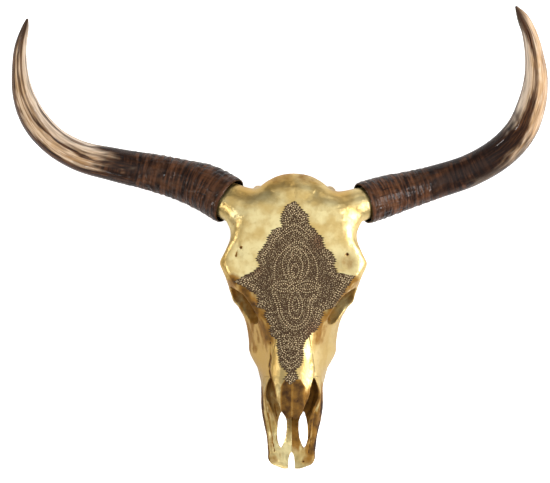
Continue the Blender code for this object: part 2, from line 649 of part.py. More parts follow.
def tooth_row(side):
    """The six cheek teeth of one side."""
    start = FIRST_TOOTH_Y
    row = []
    for index, length in enumerate(TOOTH_LENGTHS):
        row.append(tooth(index, start, side))
        start += length + TOOTH_GAP
    return row


def horn_sheath(name, horn, side):
    """A hollow horn: tapering along its curve to a closed tip, with a bore for its core."""
    points = [point for point, radius in horn]
    sizes = [(radius, radius) for point, radius in horn]
    length = np.linalg.norm(np.diff(np.array(points), axis=0), axis=1).sum()
    sheath = swept(name, points, sizes, step=length / HORN_STATIONS, segments=HORN_SEGMENTS)
    inside = sizes[0][0] - SHEATH_WALL
    inner_end = sizes[0][0] * CORE_SHARE[0][1] - 0.002
    first, second = Vector(points[0]), Vector(points[1])
    ahead = (second - first).normalized()
    mouth_path = (first - ahead * 0.03, first, first + ahead * MOUTH_DEPTH)
    mouth_sizes = [(r, r) for r in (inside + 0.001, inside, inner_end)]
    mouth = swept("mouth", mouth_path, mouth_sizes, step=0.010, segments=HORN_SEGMENTS)
    combined(sheath, "DIFFERENCE", [core("bore", horn, side, JOINT_GAP)])
    combined(sheath, "DIFFERENCE", [mouth])
    return sheath


def stand_on_floor(pieces, root):
    """Parents the pieces to the root, which puts the bounding box's bottom middle at the origin."""
    corners = np.array([v.co for piece in pieces for v in piece.data.vertices])
    low, high = corners.min(axis=0), corners.max(axis=0)
    root.location = (-(low[0] + high[0]) / 2, -(low[1] + high[1]) / 2, -FLOOR)
    for piece in pieces:
        piece.parent = root


def main():
    """Builds the skull and its horns."""
    for obj in list(bpy.data.objects):
        bpy.data.objects.remove(obj, do_unlink=True)
    skull = whole_skull()
    nasals = part_pair(skull, "nasal", nasal_outline, "Z", NASAL_CUT_DEPTH, ABOVE_ALL)
    muzzle = part_pair(skull, "premaxilla", muzzle_outline, "X", -HALF_SPAN, HALF_SPAN)
    cores = [core("core", LEFT_HORN, -1), core("core", RIGHT_HORN, 1)]
    combined(skull, "UNION", [*cores, *tooth_row(-1), *tooth_row(1)])
    ground = prism("ground", [(-1, -1), (1, -1), (1, 1), (-1, 1)], "Z", FLOOR - 0.1, FLOOR)
    combined(skull, "DIFFERENCE", [ground])
    largest_body(skull)
    horns = [horn_sheath("horn_left", LEFT_HORN, -1), horn_sheath("horn_right", RIGHT_HORN, 1)]
    for horn in horns:
        horn.data.materials.append(finish("horn"))
    for bone in (skull, *nasals, *muzzle):
        bone.data.materials.append(finish("gold"))
    pieces = [skull, *nasals, *muzzle, *horns]
    root = bpy.data.objects.new("rest", None)
    bpy.context.scene.collection.objects.link(root)
    stand_on_floor(pieces, root)
    for piece in pieces:
        piece.data.shade_smooth()
        piece.data.set_sharp_from_angle(angle=math.radians(40))


main()
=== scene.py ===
"""The looks of a bull's skull: gold lacquer over bone, a lozenge of carved dots on its forehead,
and two long horn sheaths, dark and ribbed at the base and pale towards the tip.

Everything is in metres. The bone is drawn in its own frame, with its muzzle at y = 0, x across and
z up from the plane of the forehead, and moved by ORIGIN into the frame of the solids.
"""
import math

import bpy
import numpy as np
from mathutils import Matrix, Vector


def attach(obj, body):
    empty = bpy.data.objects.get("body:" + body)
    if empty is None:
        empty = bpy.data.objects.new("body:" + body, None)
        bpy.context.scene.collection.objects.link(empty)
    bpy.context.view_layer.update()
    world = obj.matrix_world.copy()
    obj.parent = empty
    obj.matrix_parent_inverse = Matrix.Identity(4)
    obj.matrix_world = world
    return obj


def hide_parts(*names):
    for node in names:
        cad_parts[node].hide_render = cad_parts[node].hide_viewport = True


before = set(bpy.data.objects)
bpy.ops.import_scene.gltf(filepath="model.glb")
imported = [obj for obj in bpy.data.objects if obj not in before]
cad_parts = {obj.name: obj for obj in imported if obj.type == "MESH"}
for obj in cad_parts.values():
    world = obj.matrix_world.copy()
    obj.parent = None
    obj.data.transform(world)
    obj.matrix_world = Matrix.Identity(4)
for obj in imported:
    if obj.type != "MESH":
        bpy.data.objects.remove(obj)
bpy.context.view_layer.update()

ORIGIN = np.array((0.024567, -0.374711, 0.168))
MM = 0.001

# A level above all the bone, and a distance past all of it
ABOVE = 0.05
FAR = 0.6

# The photograph's framing: metres a pixel at the forehead's plane, and the skull's lean in it
PIXEL = 0.00161
PICTURE = (550, 483)
MIDLINE_PIXEL = 291.5
MUZZLE_PIXEL = 470.0
LEAN = math.atan2(2.8, 295.0)
LENS = 600.0
SENSOR = 36.0

# How finely the bone and the horns are meshed: steps in metres, points round a section, and how
# often the bone is rounded
BONE_STEP = 0.0016
BONE_ROUNDS = 7
FLOW_ROUNDS = 90
BONE_FACES = 188000
AROUND = 96
STATION_STEP = 0.003
CORE_STEP = 0.004
HORN_AROUND = 120
HORN_STEP = 0.0009

# The face and forehead, as pairs of place along the skull and size there
TOP_HEIGHT = ((0.000, -0.066), (0.020, -0.060), (0.050, -0.052), (0.080, -0.036),
              (0.110, -0.020), (0.150, -0.009), (0.210, -0.006), (0.270, -0.004),
              (0.330, 0.000), (0.410, 0.000), (0.435, -0.004), (0.447, -0.011), (0.456, -0.022))
SHOULDER_WIDTH = ((0.000, 0.006), (0.020, 0.020), (0.050, 0.023), (0.080, 0.025),
                  (0.110, 0.027), (0.150, 0.028), (0.210, 0.031), (0.242, 0.037),
                  (0.262, 0.046), (0.300, 0.074), (0.335, 0.088), (0.380, 0.080),
                  (0.410, 0.076), (0.440, 0.062), (0.456, 0.044))
SHOULDER_DROP = ((0.002, 0.001), (0.050, 0.001), (0.110, 0.008), (0.210, 0.007),
                 (0.262, 0.005), (0.335, 0.004), (0.455, 0.002))
SLOPE_WIDTH = ((0.000, 0.010), (0.020, 0.030), (0.050, 0.0345), (0.080, 0.0400),
               (0.100, 0.0440), (0.120, 0.0455), (0.150, 0.0420), (0.200, 0.0460),
               (0.242, 0.0530), (0.262, 0.0640), (0.280, 0.0790), (0.303, 0.0970),
               (0.335, 0.1110), (0.380, 0.0960), (0.410, 0.0940), (0.430, 0.0860),
               (0.445, 0.0720), (0.456, 0.0540))
SLOPE_HEIGHT = ((0.000, -0.067), (0.020, -0.062), (0.050, -0.056), (0.080, -0.050),
                (0.120, -0.037), (0.150, -0.034), (0.200, -0.036), (0.242, -0.022),
                (0.262, -0.017), (0.300, -0.009), (0.335, -0.008), (0.410, -0.011),
                (0.440, -0.016), (0.456, -0.028))
SIDE_WIDTH = ((0.000, 0.0160), (0.005, 0.0300), (0.010, 0.0365), (0.018, 0.0392),
              (0.028, 0.0384), (0.040, 0.0392), (0.060, 0.0430), (0.080, 0.0475),
              (0.100, 0.0500), (0.140, 0.0505), (0.150, 0.0515), (0.162, 0.0560),
              (0.174, 0.0630), (0.189, 0.0702), (0.205, 0.0708), (0.240, 0.0775),
              (0.251, 0.0820), (0.261, 0.0880), (0.270, 0.0970), (0.285, 0.1010),
              (0.300, 0.1055), (0.318, 0.1140), (0.333, 0.1197), (0.350, 0.1115),
              (0.370, 0.1030), (0.385, 0.1030), (0.395, 0.1075), (0.405, 0.1130),
              (0.418, 0.1080), (0.430, 0.0970), (0.445, 0.0800), (0.456, 0.0540))
SIDE_HEIGHT = ((0.000, -0.069), (0.050, -0.065), (0.100, -0.063), (0.150, -0.064),
               (0.190, -0.084), (0.240, -0.080), (0.275, -0.068), (0.300, -0.045),
               (0.318, -0.024), (0.335, -0.018), (0.380, -0.026), (0.440, -0.032),
               (0.456, -0.034))
LOWER_WIDTH = ((0.000, 0.011), (0.020, 0.033), (0.060, 0.0390), (0.100, 0.0450),
               (0.150, 0.0510), (0.194, 0.0660), (0.240, 0.0730), (0.270, 0.0870),
               (0.300, 0.0980), (0.325, 0.1000), (0.380, 0.0880), (0.430, 0.0840),
               (0.456, 0.0560))
LOWER_HEIGHT = ((0.000, -0.073), (0.050, -0.074), (0.096, -0.082), (0.150, -0.094),
                (0.194, -0.106), (0.240, -0.106), (0.270, -0.092), (0.300, -0.070),
                (0.322, -0.038), (0.335, -0.034), (0.380, -0.042), (0.440, -0.048),
                (0.456, -0.044))
BASE_WIDTH = ((0.000, 0.006), (0.020, 0.0200), (0.060, 0.0260), (0.096, 0.0330),
              (0.135, 0.0470), (0.194, 0.0600), (0.262, 0.0650), (0.285, 0.0560),
              (0.335, 0.0620), (0.440, 0.0660), (0.456, 0.0400))
BASE_HEIGHT = ((0.000, -0.074), (0.050, -0.078), (0.096, -0.096), (0.120, -0.117),
               (0.135, -0.124), (0.194, -0.140), (0.258, -0.153), (0.272, -0.146),
               (0.296, -0.096), (0.322, -0.052), (0.335, -0.048), (0.440, -0.064),
               (0.456, -0.054))
FLOOR_HEIGHT = ((0.000, -0.074), (0.050, -0.077), (0.096, -0.088), (0.135, -0.103),
                (0.194, -0.120), (0.262, -0.134), (0.276, -0.130), (0.300, -0.098),
                (0.322, -0.056), (0.335, -0.052), (0.440, -0.064), (0.456, -0.054))
POLL_CENTRE = (0.0, 0.4395, -0.036)
POLL_RADII = (0.0620, 0.0388, 0.0330)

# The braincase under the forehead
BRAIN_WIDTH = ((0.276, 0.032), (0.310, 0.040), (0.350, 0.052), (0.400, 0.060), (0.425, 0.070),
               (0.438, 0.071), (0.449, 0.058), (0.460, 0.038))
BRAIN_HEIGHT = ((0.276, -0.070), (0.350, -0.062), (0.400, -0.062), (0.446, -0.072),
                (0.460, -0.076))
BRAIN_BASE_WIDTH = ((0.276, 0.016), (0.350, 0.020), (0.400, 0.026), (0.446, 0.044),
                    (0.460, 0.030))
BRAIN_BASE_HEIGHT = ((0.276, -0.116), (0.330, -0.114), (0.400, -0.120), (0.446, -0.126),
                     (0.460, -0.114))
BRAIN_TOP = -0.028

# The eye socket
ORBIT_CENTRE = (0.0755, 0.2675, -0.0430)
ORBIT_FACING = (0.78, -0.58, 0.28)
ORBIT_RADII = (0.0365, 0.0300)
ORBIT_DEPTH = 0.054
RIM_SPREAD = 0.0025
RIM_THICKNESS = 0.0050

# The cheek arch from the socket back to the ear
ARCH_PATH = ((0.056, 0.215, -0.090), (0.079, 0.258, -0.086), (0.0960, 0.290, -0.082),
             (0.104, 0.316, -0.082), (0.101, 0.348, -0.085), (0.092, 0.378, -0.084),
             (0.079, 0.402, -0.079), (0.064, 0.420, -0.076))
ARCH_SIZES = ((0.0050, 0.0100), (0.0070, 0.0140), (0.0065, 0.0150), (0.0055, 0.0130),
              (0.0045, 0.0100), (0.0050, 0.0100), (0.0085, 0.0120), (0.0110, 0.0150))
BAR_PATH = ((0.1035, 0.320, -0.016), (0.1035, 0.314, -0.046), (0.0970, 0.303, -0.078))
BAR_SIZES = ((0.0080, 0.0160), (0.0065, 0.0140), (0.0080, 0.0170))

# The neck joint and the base of the skull
CONDYLE = ((0.0250, 0.455, -0.113), (0.0170, 0.0160, 0.0250))
FORAMEN = ((0.0, 0.474, -0.093), (0.018, 0.040, 0.018))
PROCESS_PATH = ((0.052, 0.432, -0.080), (0.058, 0.440, -0.118), (0.055, 0.436, -0.172))
PROCESS_SIZES = ((0.0200, 0.0205), (0.0130, 0.0190), (0.0065, 0.0110))
BULLA = ((0.035, 0.398, -0.118), (0.011, 0.019, 0.020))
PTERYGOID = ((0.023, 0.290, -0.120), (0.0055, 0.040, 0.030))
CHOANA = ((0.0, 0.302, -0.130), (0.018, 0.046, 0.020))

# The floor it lies on, how far the bone keeps above it, and how far its fine surface is drawn in
FLOOR_LEVEL = -0.168
FLOOR_SPARE = 0.00003
BONE_INSET = 0.00035

# The nose: its air way, the notch and the two long holes between the muzzle bones
CAVITY_WIDTH = ((0.030, 0.0140), (0.040, 0.0215), (0.060, 0.0290), (0.080, 0.0330),
                (0.095, 0.0370), (0.108, 0.0430), (0.118, 0.0465), (0.128, 0.0445),
                (0.138, 0.0405), (0.149, 0.0340), (0.160, 0.0290), (0.215, 0.0210))
CAVITY_TOP = ((0.030, 0.020), (0.147, 0.020), (0.151, -0.019), (0.215, -0.026))
CAVITY_FLOOR = ((0.030, -0.0520), (0.050, -0.0580), (0.070, -0.0645), (0.088, -0.0720),
                (0.105, -0.078), (0.130, -0.082), (0.215, -0.088))
HOLE_OUTLINE = ((0.0172, 0.0935), (0.0122, 0.0845), (0.0098, 0.0770), (0.0098, 0.0640),
                (0.0114, 0.0510), (0.0150, 0.0410), (0.0182, 0.0345), (0.0212, 0.0380),
                (0.0240, 0.0475), (0.0248, 0.0590), (0.0238, 0.0720), (0.0218, 0.0830),
                (0.0195, 0.0900))
HOLE_LEAN = 0.0013
NOTCH_OUTLINE = ((0.0052, -0.010), (0.0052, 0.008), (0.0042, 0.019), (0.0020, 0.0260),
                 (0.0, 0.0275), (-0.0020, 0.0260), (-0.0042, 0.019), (-0.0052, 0.008),
                 (-0.0052, -0.010))
NASAL_WIDTH = ((0.0810, 0.0080), (0.0880, 0.0135), (0.0950, 0.0185), (0.1030, 0.0210),
               (0.1100, 0.0245), (0.1200, 0.0285), (0.1350, 0.0310), (0.1500, 0.0345),
               (0.1700, 0.0350))
NASAL_TOP = ((0.081, -0.0170), (0.100, -0.0125), (0.135, -0.0095), (0.170, -0.0075))
NASAL_ARCH = 0.012
NASAL_THICKNESS = 0.0065
NASAL_FULL_WIDTH = 0.035
NASAL_TIP_NOTCH = ((0.0, 0.0945), (-0.0035, 0.0700), (0.0035, 0.0700))
NASAL_CUT_WIDTH = ((0.060, 0.0355), (0.165, 0.0355), (0.200, 0.0290), (0.236, 0.0190),
                   (0.264, 0.0010))
NASAL_CUT_DEPTH = -0.0265
MUZZLE_CUT = ((0.084, -0.120), (0.090, -0.086), (0.118, -0.062), (0.150, -0.040))
MUZZLE_TOP = -0.0285
UNDER_MUZZLE = -0.12
SEAM_GAP = 0.0004
SUTURE_BEND = ((-FAR, 0.0), (-0.083, 0.0), (-0.0735, 0.0011), (-0.064, 0.0), (FAR, 0.0))

# The cheek teeth, three premolars and three molars a side: length along the jaw, width across it
TOOTH_LENGTHS = (0.0150, 0.0165, 0.0175, 0.0240, 0.0270, 0.0300)
TOOTH_WIDTHS = (0.0140, 0.0160, 0.0175, 0.0205, 0.0215, 0.0205)
TOOTH_GAP = 0.0007
TOOTH_SPARE = 0.0001
FIRST_TOOTH_Y = 0.128
ROW_X = ((0.128, 0.0410), (0.180, 0.0495), (0.262, 0.0545))
CROWN_FLOOR = ((0.128, -0.1330), (0.200, -0.1520), (0.232, -0.1660), (0.237, -0.1680),
               (0.270, -0.1680))
ROOT_TOP = ((0.128, -0.1050), (0.270, -0.1380))

# The horns: path points with the outside radius there, from the rim to the tip, then their bony
# cores and roots. Marks are drawn on a straightened horn of one radius
LEFT_HORN = (((-0.1040, 0.4325, -0.044), 0.0400), ((-0.1430, 0.4535, -0.063), 0.0388),
             ((-0.1850, 0.4667, -0.076), 0.0340), ((-0.2270, 0.4771, -0.082), 0.0310),
             ((-0.2900, 0.4894, -0.082), 0.0278), ((-0.3520, 0.5052, -0.070), 0.0250),
             ((-0.3895, 0.5267, -0.055), 0.0235), ((-0.4185, 0.5581, -0.034), 0.0225),
             ((-0.4367, 0.5968, -0.010), 0.0186), ((-0.4432, 0.6391, 0.014), 0.0136),
             ((-0.4407, 0.6819, 0.038), 0.0099), ((-0.4340, 0.7070, 0.053), 0.0062),
             ((-0.4305, 0.7205, 0.061), 0.0020))
RIGHT_HORN = (((0.1115, 0.4305, -0.044), 0.0352), ((0.1478, 0.4424, -0.060), 0.0342),
              ((0.1875, 0.4538, -0.072), 0.0306), ((0.2270, 0.4658, -0.078), 0.0282),
              ((0.2857, 0.4864, -0.078), 0.0272), ((0.3384, 0.5194, -0.066), 0.0268),
              ((0.3654, 0.5508, -0.050), 0.0260), ((0.3809, 0.5893, -0.028), 0.0240),
              ((0.3874, 0.6304, -0.004), 0.0204), ((0.3837, 0.6719, 0.021), 0.0160),
              ((0.3727, 0.7119, 0.046), 0.0122), ((0.3634, 0.7305, 0.057), 0.0098),
              ((0.3525, 0.7479, 0.068), 0.0020))
ROOT_START = (0.0450, 0.4100, -0.041)
ROOT_SHARE = 0.80
ROOT_SPREAD = 0.0070
ROOT_REACH = 0.008
CORE_SHARE = ((0.0, 0.74), (0.040, 0.70), (0.070, 0.58), (0.100, 0.36))
SHEATH_WALL = 0.0038
MOUTH_DEPTH = 0.022
CORE_SPARE = 0.0008
STRAIGHT_RADIUS = 0.03


def hermite(t, span, first, leaving, last, arriving):
    """A Hermite cubic, t from 0 to 1 along a span: its two ends and the slope at each."""
    return ((2 * t**3 - 3 * t**2 + 1) * first + (t**3 - 2 * t**2 + t) * span * leaving
            + (3 * t**2 - 2 * t**3) * last + (t**3 - t**2) * span * arriving)


def through(pairs, places):
    """Sizes at these places on a smooth curve through pairs of place and size: Hermite cubics,
    with each pair's slope taken from its two neighbours."""
    knots = np.array([pair[0] for pair in pairs], float)
    values = np.array([pair[1] for pair in pairs], float)
    slopes = np.gradient(values, knots, axis=0)
    places = np.clip(places, knots[0], knots[-1])
    start = np.clip(np.searchsorted(knots, places, side="right") - 1, 0, len(knots) - 2)
    span = knots[start + 1] - knots[start]
    t = (places - knots[start]) / span
    if values.ndim > 1:
        t, span = t[..., None], span[..., None]
    return hermite(t, span, values[start], slopes[start], values[start + 1], slopes[start + 1])


def steps(start, end, step=STATION_STEP):
    """Evenly spaced places from start to end."""
    return np.linspace(start, end, max(3, round(abs(end - start) / step) + 1))


def lengths_along(points):
    """How far along a path each of its points lies."""
    return np.concatenate([[0.0], np.cumsum(np.linalg.norm(np.diff(points, axis=0), axis=1))])


def on_path(points, places, values=None):
    """Points of the smooth path through these, or the values given at them, at places along it."""
    return through(list(zip(lengths_along(points), points if values is None else values)), places)


def circle(count):
    """Evenly spaced angles all the way round."""
    return np.linspace(0, 2 * np.pi, count, endpoint=False)


def smooth_step(low, high, value):
    """0 below low, 1 above high, and an S-shaped rise between them."""
    t = np.clip((value - low) / (high - low), 0.0, 1.0)
    return t * t * (3 - 2 * t)


def bell(distance, width):
    """1 at no distance, falling off as a Gaussian of this width."""
    return np.exp(-((distance / width) ** 2))


def hill(x, y, cx, cy, rx, ry):
    """1 at a place, falling off as a Gaussian of these widths in x and y."""
    return np.exp(-((x - cx) / rx) ** 2 - ((y - cy) / ry) ** 2)


def spot(x, y, cx, cy, radius):
    """1 within a round spot, with a steep soft edge."""
    return np.exp(-(((x - cx) ** 2 + (y - cy) ** 2) / radius**2) ** 2)


def boxed(values, power):
    """The values raised to a power below 1, with their sign, which squares a circle."""
    return np.copysign(np.abs(values) ** power, values)


def unit(vectors):
    """The vectors at length one."""
    return vectors / np.maximum(np.linalg.norm(vectors, axis=-1, keepdims=True), 1e-12)


def noise(points, size, seed):
    """Value noise from 0 to 1: a random number at each corner of a lattice of cells of this size,
    blended smoothly across each cell."""
    table = np.random.default_rng(seed).random(8192)
    cell = points / size
    low = np.floor(cell).astype(np.int64)
    t = cell - low
    t = t * t * (3 - 2 * t)
    total = np.zeros(points.shape[:-1])
    for corner in np.ndindex(2, 2, 2):
        k = low + np.array(corner)
        index = (k[..., 0] * 73856093 ^ k[..., 1] * 19349663 ^ k[..., 2] * 83492791) & 8191
        weight = np.prod(np.where(corner, t, 1 - t), axis=-1)
        total += weight * table[index]
    return total


def turbulence(points, size, seed, octaves=3):
    """Noise from -1 to 1 with finer and weaker noise on top."""
    total, reach = 0.0, 0.0
    for k in range(octaves):
        total = total + (noise(points, size / 2**k, seed + 17 * k) * 2 - 1) / 2**k
        reach += 1 / 2**k
    return total / reach


def to_line(points, line):
    """Distance from points to a line of straight parts, in as many axes as the line has."""
    line = np.array(line, float)
    points = points[..., :line.shape[1]]
    nearest = np.full(points.shape[:-1], 1e9)
    for a, b in zip(line, line[1:]):
        along = np.clip(((points - a) @ (b - a)) / ((b - a) @ (b - a)), 0, 1)
        nearest = np.minimum(nearest, np.linalg.norm(points - (a + along[..., None] * (b - a)), axis=-1))
    return nearest


def mesh_object(name, points, quads, triangles=()):
    """An object in the bone's frame from arrays of points and faces, with its faces turned out."""
    points = np.asarray(points, float)
    quads = np.asarray(quads, np.int64).reshape(-1, 4)
    triangles = np.asarray(triangles, np.int64).reshape(-1, 3)
    fans = np.vstack([quads[:, (0, 1, 2)], quads[:, (0, 2, 3)], triangles])
    a, b, c = (points[fans[:, k]] for k in range(3))
    if np.einsum("ij,ij->", a, np.cross(b, c)) < 0:
        quads, triangles = quads[:, ::-1], triangles[:, ::-1]
    corners = np.concatenate([quads.ravel(), triangles.ravel()])
    return faces_object(name, points, corners, np.repeat((4, 3), (len(quads), len(triangles))))


def faces_object(name, points, corners, sizes):
    """An object from points, the point numbers of all face corners in turn, and each face's size."""
    mesh = bpy.data.meshes.new(name)
    mesh.vertices.add(len(points))
    mesh.vertices.foreach_set("co", points.astype(np.float32).ravel())
    mesh.loops.add(len(corners))
    mesh.loops.foreach_set("vertex_index", corners.astype(np.int32))
    mesh.polygons.add(len(sizes))
    mesh.polygons.foreach_set("loop_start", (np.cumsum(sizes) - sizes).astype(np.int32))
    mesh.update(calc_edges=True)
    return add_object(name, mesh)


def add_object(name, data):
    """A new object with this mesh, light or camera, in the scene."""
    made = bpy.data.objects.new(name, data)
    bpy.context.scene.collection.objects.link(made)
    return made


def grid_faces(rows, columns, closed=True):
    """Quads between neighbouring rows of a grid of points, round to the first column if closed."""
    i, j = np.meshgrid(np.arange(rows - 1), np.arange(columns if closed else columns - 1),
                       indexing="ij")
    k = (j + 1) % columns
    return np.stack([i * columns + j, i * columns + k, (i + 1) * columns + k,
                     (i + 1) * columns + j], axis=-1).reshape(-1, 4)


def tube(name, rings):
    """A closed skin through rings of points, each end closed by a fan to the ring's middle."""
    rows, columns = rings.shape[:2]
    points = np.vstack([rings.reshape(-1, 3), rings[0].mean(axis=0), rings[-1].mean(axis=0)])
    j = np.arange(columns)
    k = (j + 1) % columns
    first, last = rows * columns, rows * columns + 1
    base = (rows - 1) * columns
    fans = np.vstack([np.stack([k, j, np.full(columns, first)], axis=-1),
                      np.stack([base + j, base + k, np.full(columns, last)], axis=-1)])
    return mesh_object(name, points, grid_faces(rows, columns), fans)


def section_loop(corners, count):
    """A closed smooth curve through one half of a cross section and its mirror image."""
    half = np.array(corners, float)
    loop = np.vstack([half, half[-2:0:-1] * (-1, 1)])
    ahead, behind = np.roll(loop, -1, axis=0), np.roll(loop, 1, axis=0)
    lengths = np.linalg.norm(ahead - loop, axis=1)
    knots = np.concatenate([[0.0], np.cumsum(lengths)])
    tangents = (ahead - behind) / (lengths + np.roll(lengths, 1))[:, None]
    places = np.linspace(0.0, knots[-1], count, endpoint=False)
    i = np.searchsorted(knots, places, side="right") - 1
    after = (i + 1) % len(loop)
    t = ((places - knots[i]) / lengths[i])[:, None]
    return hermite(t, lengths[i][:, None], loop[i], tangents[i], loop[after], tangents[after])


def loft(name, ys, sections):
    """A skin through smooth mirrored sections, one at each place along the skull."""
    rings = [np.insert(section_loop(corners, AROUND), 1, y, axis=1)
             for y, corners in zip(ys, sections)]
    return tube(name, np.array(rings))


def ellipsoid(name, centre, radii, turn=np.eye(3)):
    """An ellipsoid: a sphere's longitudes and latitudes, stretched along the columns of turn."""
    b, a = np.meshgrid(np.linspace(0.04, np.pi - 0.04, 24), circle(48), indexing="ij")
    points = np.stack([np.sin(b) * np.cos(a), np.sin(b) * np.sin(a), np.cos(b)], axis=-1)
    return tube(name, (points * np.array(radii)) @ turn.T + np.array(centre))


def frames_along(centres):
    """Across and upright axes at each point of a path, square to its direction."""
    along = unit(np.gradient(centres, axis=0))
    guide = np.where(np.abs(along[:, 2:]) < 0.8, (0.0, 0.0, 1.0), (0.0, 1.0, 0.0))
    across = unit(np.cross(along, guide))
    return across, np.cross(across, along)


def bar(name, path, sizes, around=32):
    """An oval bar: an ellipse with these half widths carried along a smooth path."""
    points = np.array(path, float)
    places = steps(0.0, lengths_along(points)[-1])
    centres = on_path(points, places)
    halves = on_path(points, places, np.array(sizes, float))
    across, upright = frames_along(centres)
    a = circle(around)[None, :, None]
    rings = (centres[:, None] + across[:, None] * halves[:, None, :1] * np.cos(a)
             + upright[:, None] * halves[:, None, 1:] * np.sin(a))
    return tube(name, rings)


def socket_axes():
    """Axes of an eye socket: along the skull, upright, and out of its opening."""
    facing = unit(np.array(ORBIT_FACING))
    along = unit(np.cross((0, 0, 1), facing))
    return np.stack([along, np.cross(facing, along), facing], axis=1)


def socket_rim():
    """The rim of the right eye socket: a round bar bent into an oval ring."""
    a, b = circle(96)[:, None, None], circle(20)[None, :, None]
    out = np.concatenate([np.cos(a), np.sin(a), 0 * a], axis=-1)
    spoke = out * (ORBIT_RADII[0] + RIM_SPREAD, ORBIT_RADII[1] + RIM_SPREAD, 0)
    ring = spoke + RIM_THICKNESS * (out * np.cos(b) + np.array((0, 0, 1)) * np.sin(b))
    points = (ring @ socket_axes().T + np.array(ORBIT_CENTRE)).reshape(-1, 3)
    return mesh_object("rim", points, grid_faces(97, 20) % (96 * 20))


def prism(name, outline, axis, low, high):
    """A flat outline drawn out along an axis from low to high."""
    outline = np.array(outline, float)
    place = "XYZ".index(axis)
    return tube(name, np.array([np.insert(outline, place, level, axis=1) for level in (low, high)]))


def discard(objects):
    """Removes helpers that have done their work."""
    for obj in objects:
        bpy.data.objects.remove(obj, do_unlink=True)


def apply_modifiers(obj):
    """Replaces the object's mesh by its evaluated one."""
    graph = bpy.context.evaluated_depsgraph_get()
    obj.data = bpy.data.meshes.new_from_object(obj.evaluated_get(graph))
    obj.modifiers.clear()
    return obj


def boolean(target, operation, *others):
    """Cuts or keeps the target's mesh by each of the others, and removes them."""
    for other in others:
        made = target.modifiers.new("boolean", "BOOLEAN")
        made.operation, made.object, made.solver = operation, other, "MANIFOLD"
        apply_modifiers(target)
    discard(others)
    return target


def read(mesh, normals=False):
    """A mesh's points or its normals as an array."""
    values = np.empty(len(mesh.vertices) * 3, np.float32)
    if normals:
        mesh.vertex_normals.foreach_get("vector", values)
    else:
        mesh.vertices.foreach_get("co", values)
    return values.reshape(-1, 3).astype(float)


def write(mesh, points):
    """Puts an array of points back into a mesh."""
    mesh.vertices.foreach_set("co", np.asarray(points, np.float32).ravel())
    mesh.update()


def mirrored(obj):
    """A copy of the object on the other side of x = 0."""
    mesh = obj.data.copy()
    mesh.transform(Matrix.Diagonal((-1, 1, 1, 1)))
    mesh.flip_normals()
    return add_object(obj.name + "_mirrored", mesh)


def joined(name, objects):
    """One object with the meshes of several."""
    points, corners, sizes, count = [], [], [], 0
    for obj in objects:
        mesh = obj.data
        own, ends = read(mesh), np.empty(len(mesh.loops), np.int32)
        mesh.loops.foreach_get("vertex_index", ends)
        starts = np.empty(len(mesh.polygons), np.int32)
        mesh.polygons.foreach_get("loop_start", starts)
        points.append(own)
        corners.append(ends + count)
        sizes.append(np.diff(np.append(starts, len(ends))))
        count += len(own)
    discard(objects)
    return faces_object(name, *(np.concatenate(part) for part in (points, corners, sizes)))


def fused(obj, rounds):
    """Fuses overlapping shapes into one skin of even faces, and rounds it."""
    remesh = obj.modifiers.new("fuse", "REMESH")
    remesh.mode = "VOXEL"
    remesh.voxel_size = BONE_STEP
    if rounds:
        smooth = obj.modifiers.new("round", "SMOOTH")
        smooth.factor = 0.5
        smooth.iterations = rounds
    return apply_modifiers(obj)


def triangle_count(obj):
    """Triangles in the object's mesh."""
    obj.data.calc_loop_triangles()
    return len(obj.data.loop_triangles)


def thinned(obj, faces):
    """At most this many triangles, with the most where the surface bends."""
    count = triangle_count(obj)
    if count > faces:
        decimate = obj.modifiers.new("thin", "DECIMATE")
        decimate.ratio = faces / count
        apply_modifiers(obj)
    return obj


def edge_array(mesh):
    """The mesh's edges as pairs of point numbers."""
    ends = np.empty(len(mesh.edges) * 2, np.int32)
    mesh.edges.foreach_get("vertices", ends)
    return ends.reshape(-1, 2)


def spread(values, edges, rounds):
    """Values averaged over each point's neighbours, this many times."""
    count = len(values)
    flat = values.reshape(count, -1)
    degree = np.bincount(edges.ravel(), minlength=count).clip(1)[:, None]
    for _ in range(rounds):
        total = np.stack([np.bincount(edges[:, 0], flat[edges[:, 1], k], count)
                          + np.bincount(edges[:, 1], flat[edges[:, 0], k], count)
                          for k in range(flat.shape[1])], axis=1)
        flat = 0.5 * flat + 0.5 * total / degree
    return flat.reshape(values.shape)


def paint(mesh, name, values):
    """Stores one number for each point, for the material to read."""
    values = np.asarray(values, np.float32)
    kind = "FLOAT" if values.ndim == 1 else "FLOAT_VECTOR"
    made = mesh.attributes.new(name, kind, "POINT")
    made.data.foreach_set("value" if values.ndim == 1 else "vector", values.ravel())


def face_and_forehead():
    """The long roof of the skull: muzzle, cheeks, forehead and poll in one loft."""
    ys = steps(TOP_HEIGHT[0][0], TOP_HEIGHT[-1][0])
    sections = []
    for y in ys:
        top = through(TOP_HEIGHT, y)
        flanks = [(through(width, y), through(height, y)) for width, height in (
            (SLOPE_WIDTH, SLOPE_HEIGHT), (SIDE_WIDTH, SIDE_HEIGHT), (LOWER_WIDTH, LOWER_HEIGHT),
            (BASE_WIDTH, BASE_HEIGHT))]
        sections.append(((0.0, top), (through(SHOULDER_WIDTH, y), top - through(SHOULDER_DROP, y)),
                         *flanks, (0.0, through(FLOOR_HEIGHT, y))))
    return loft("face", ys, sections)


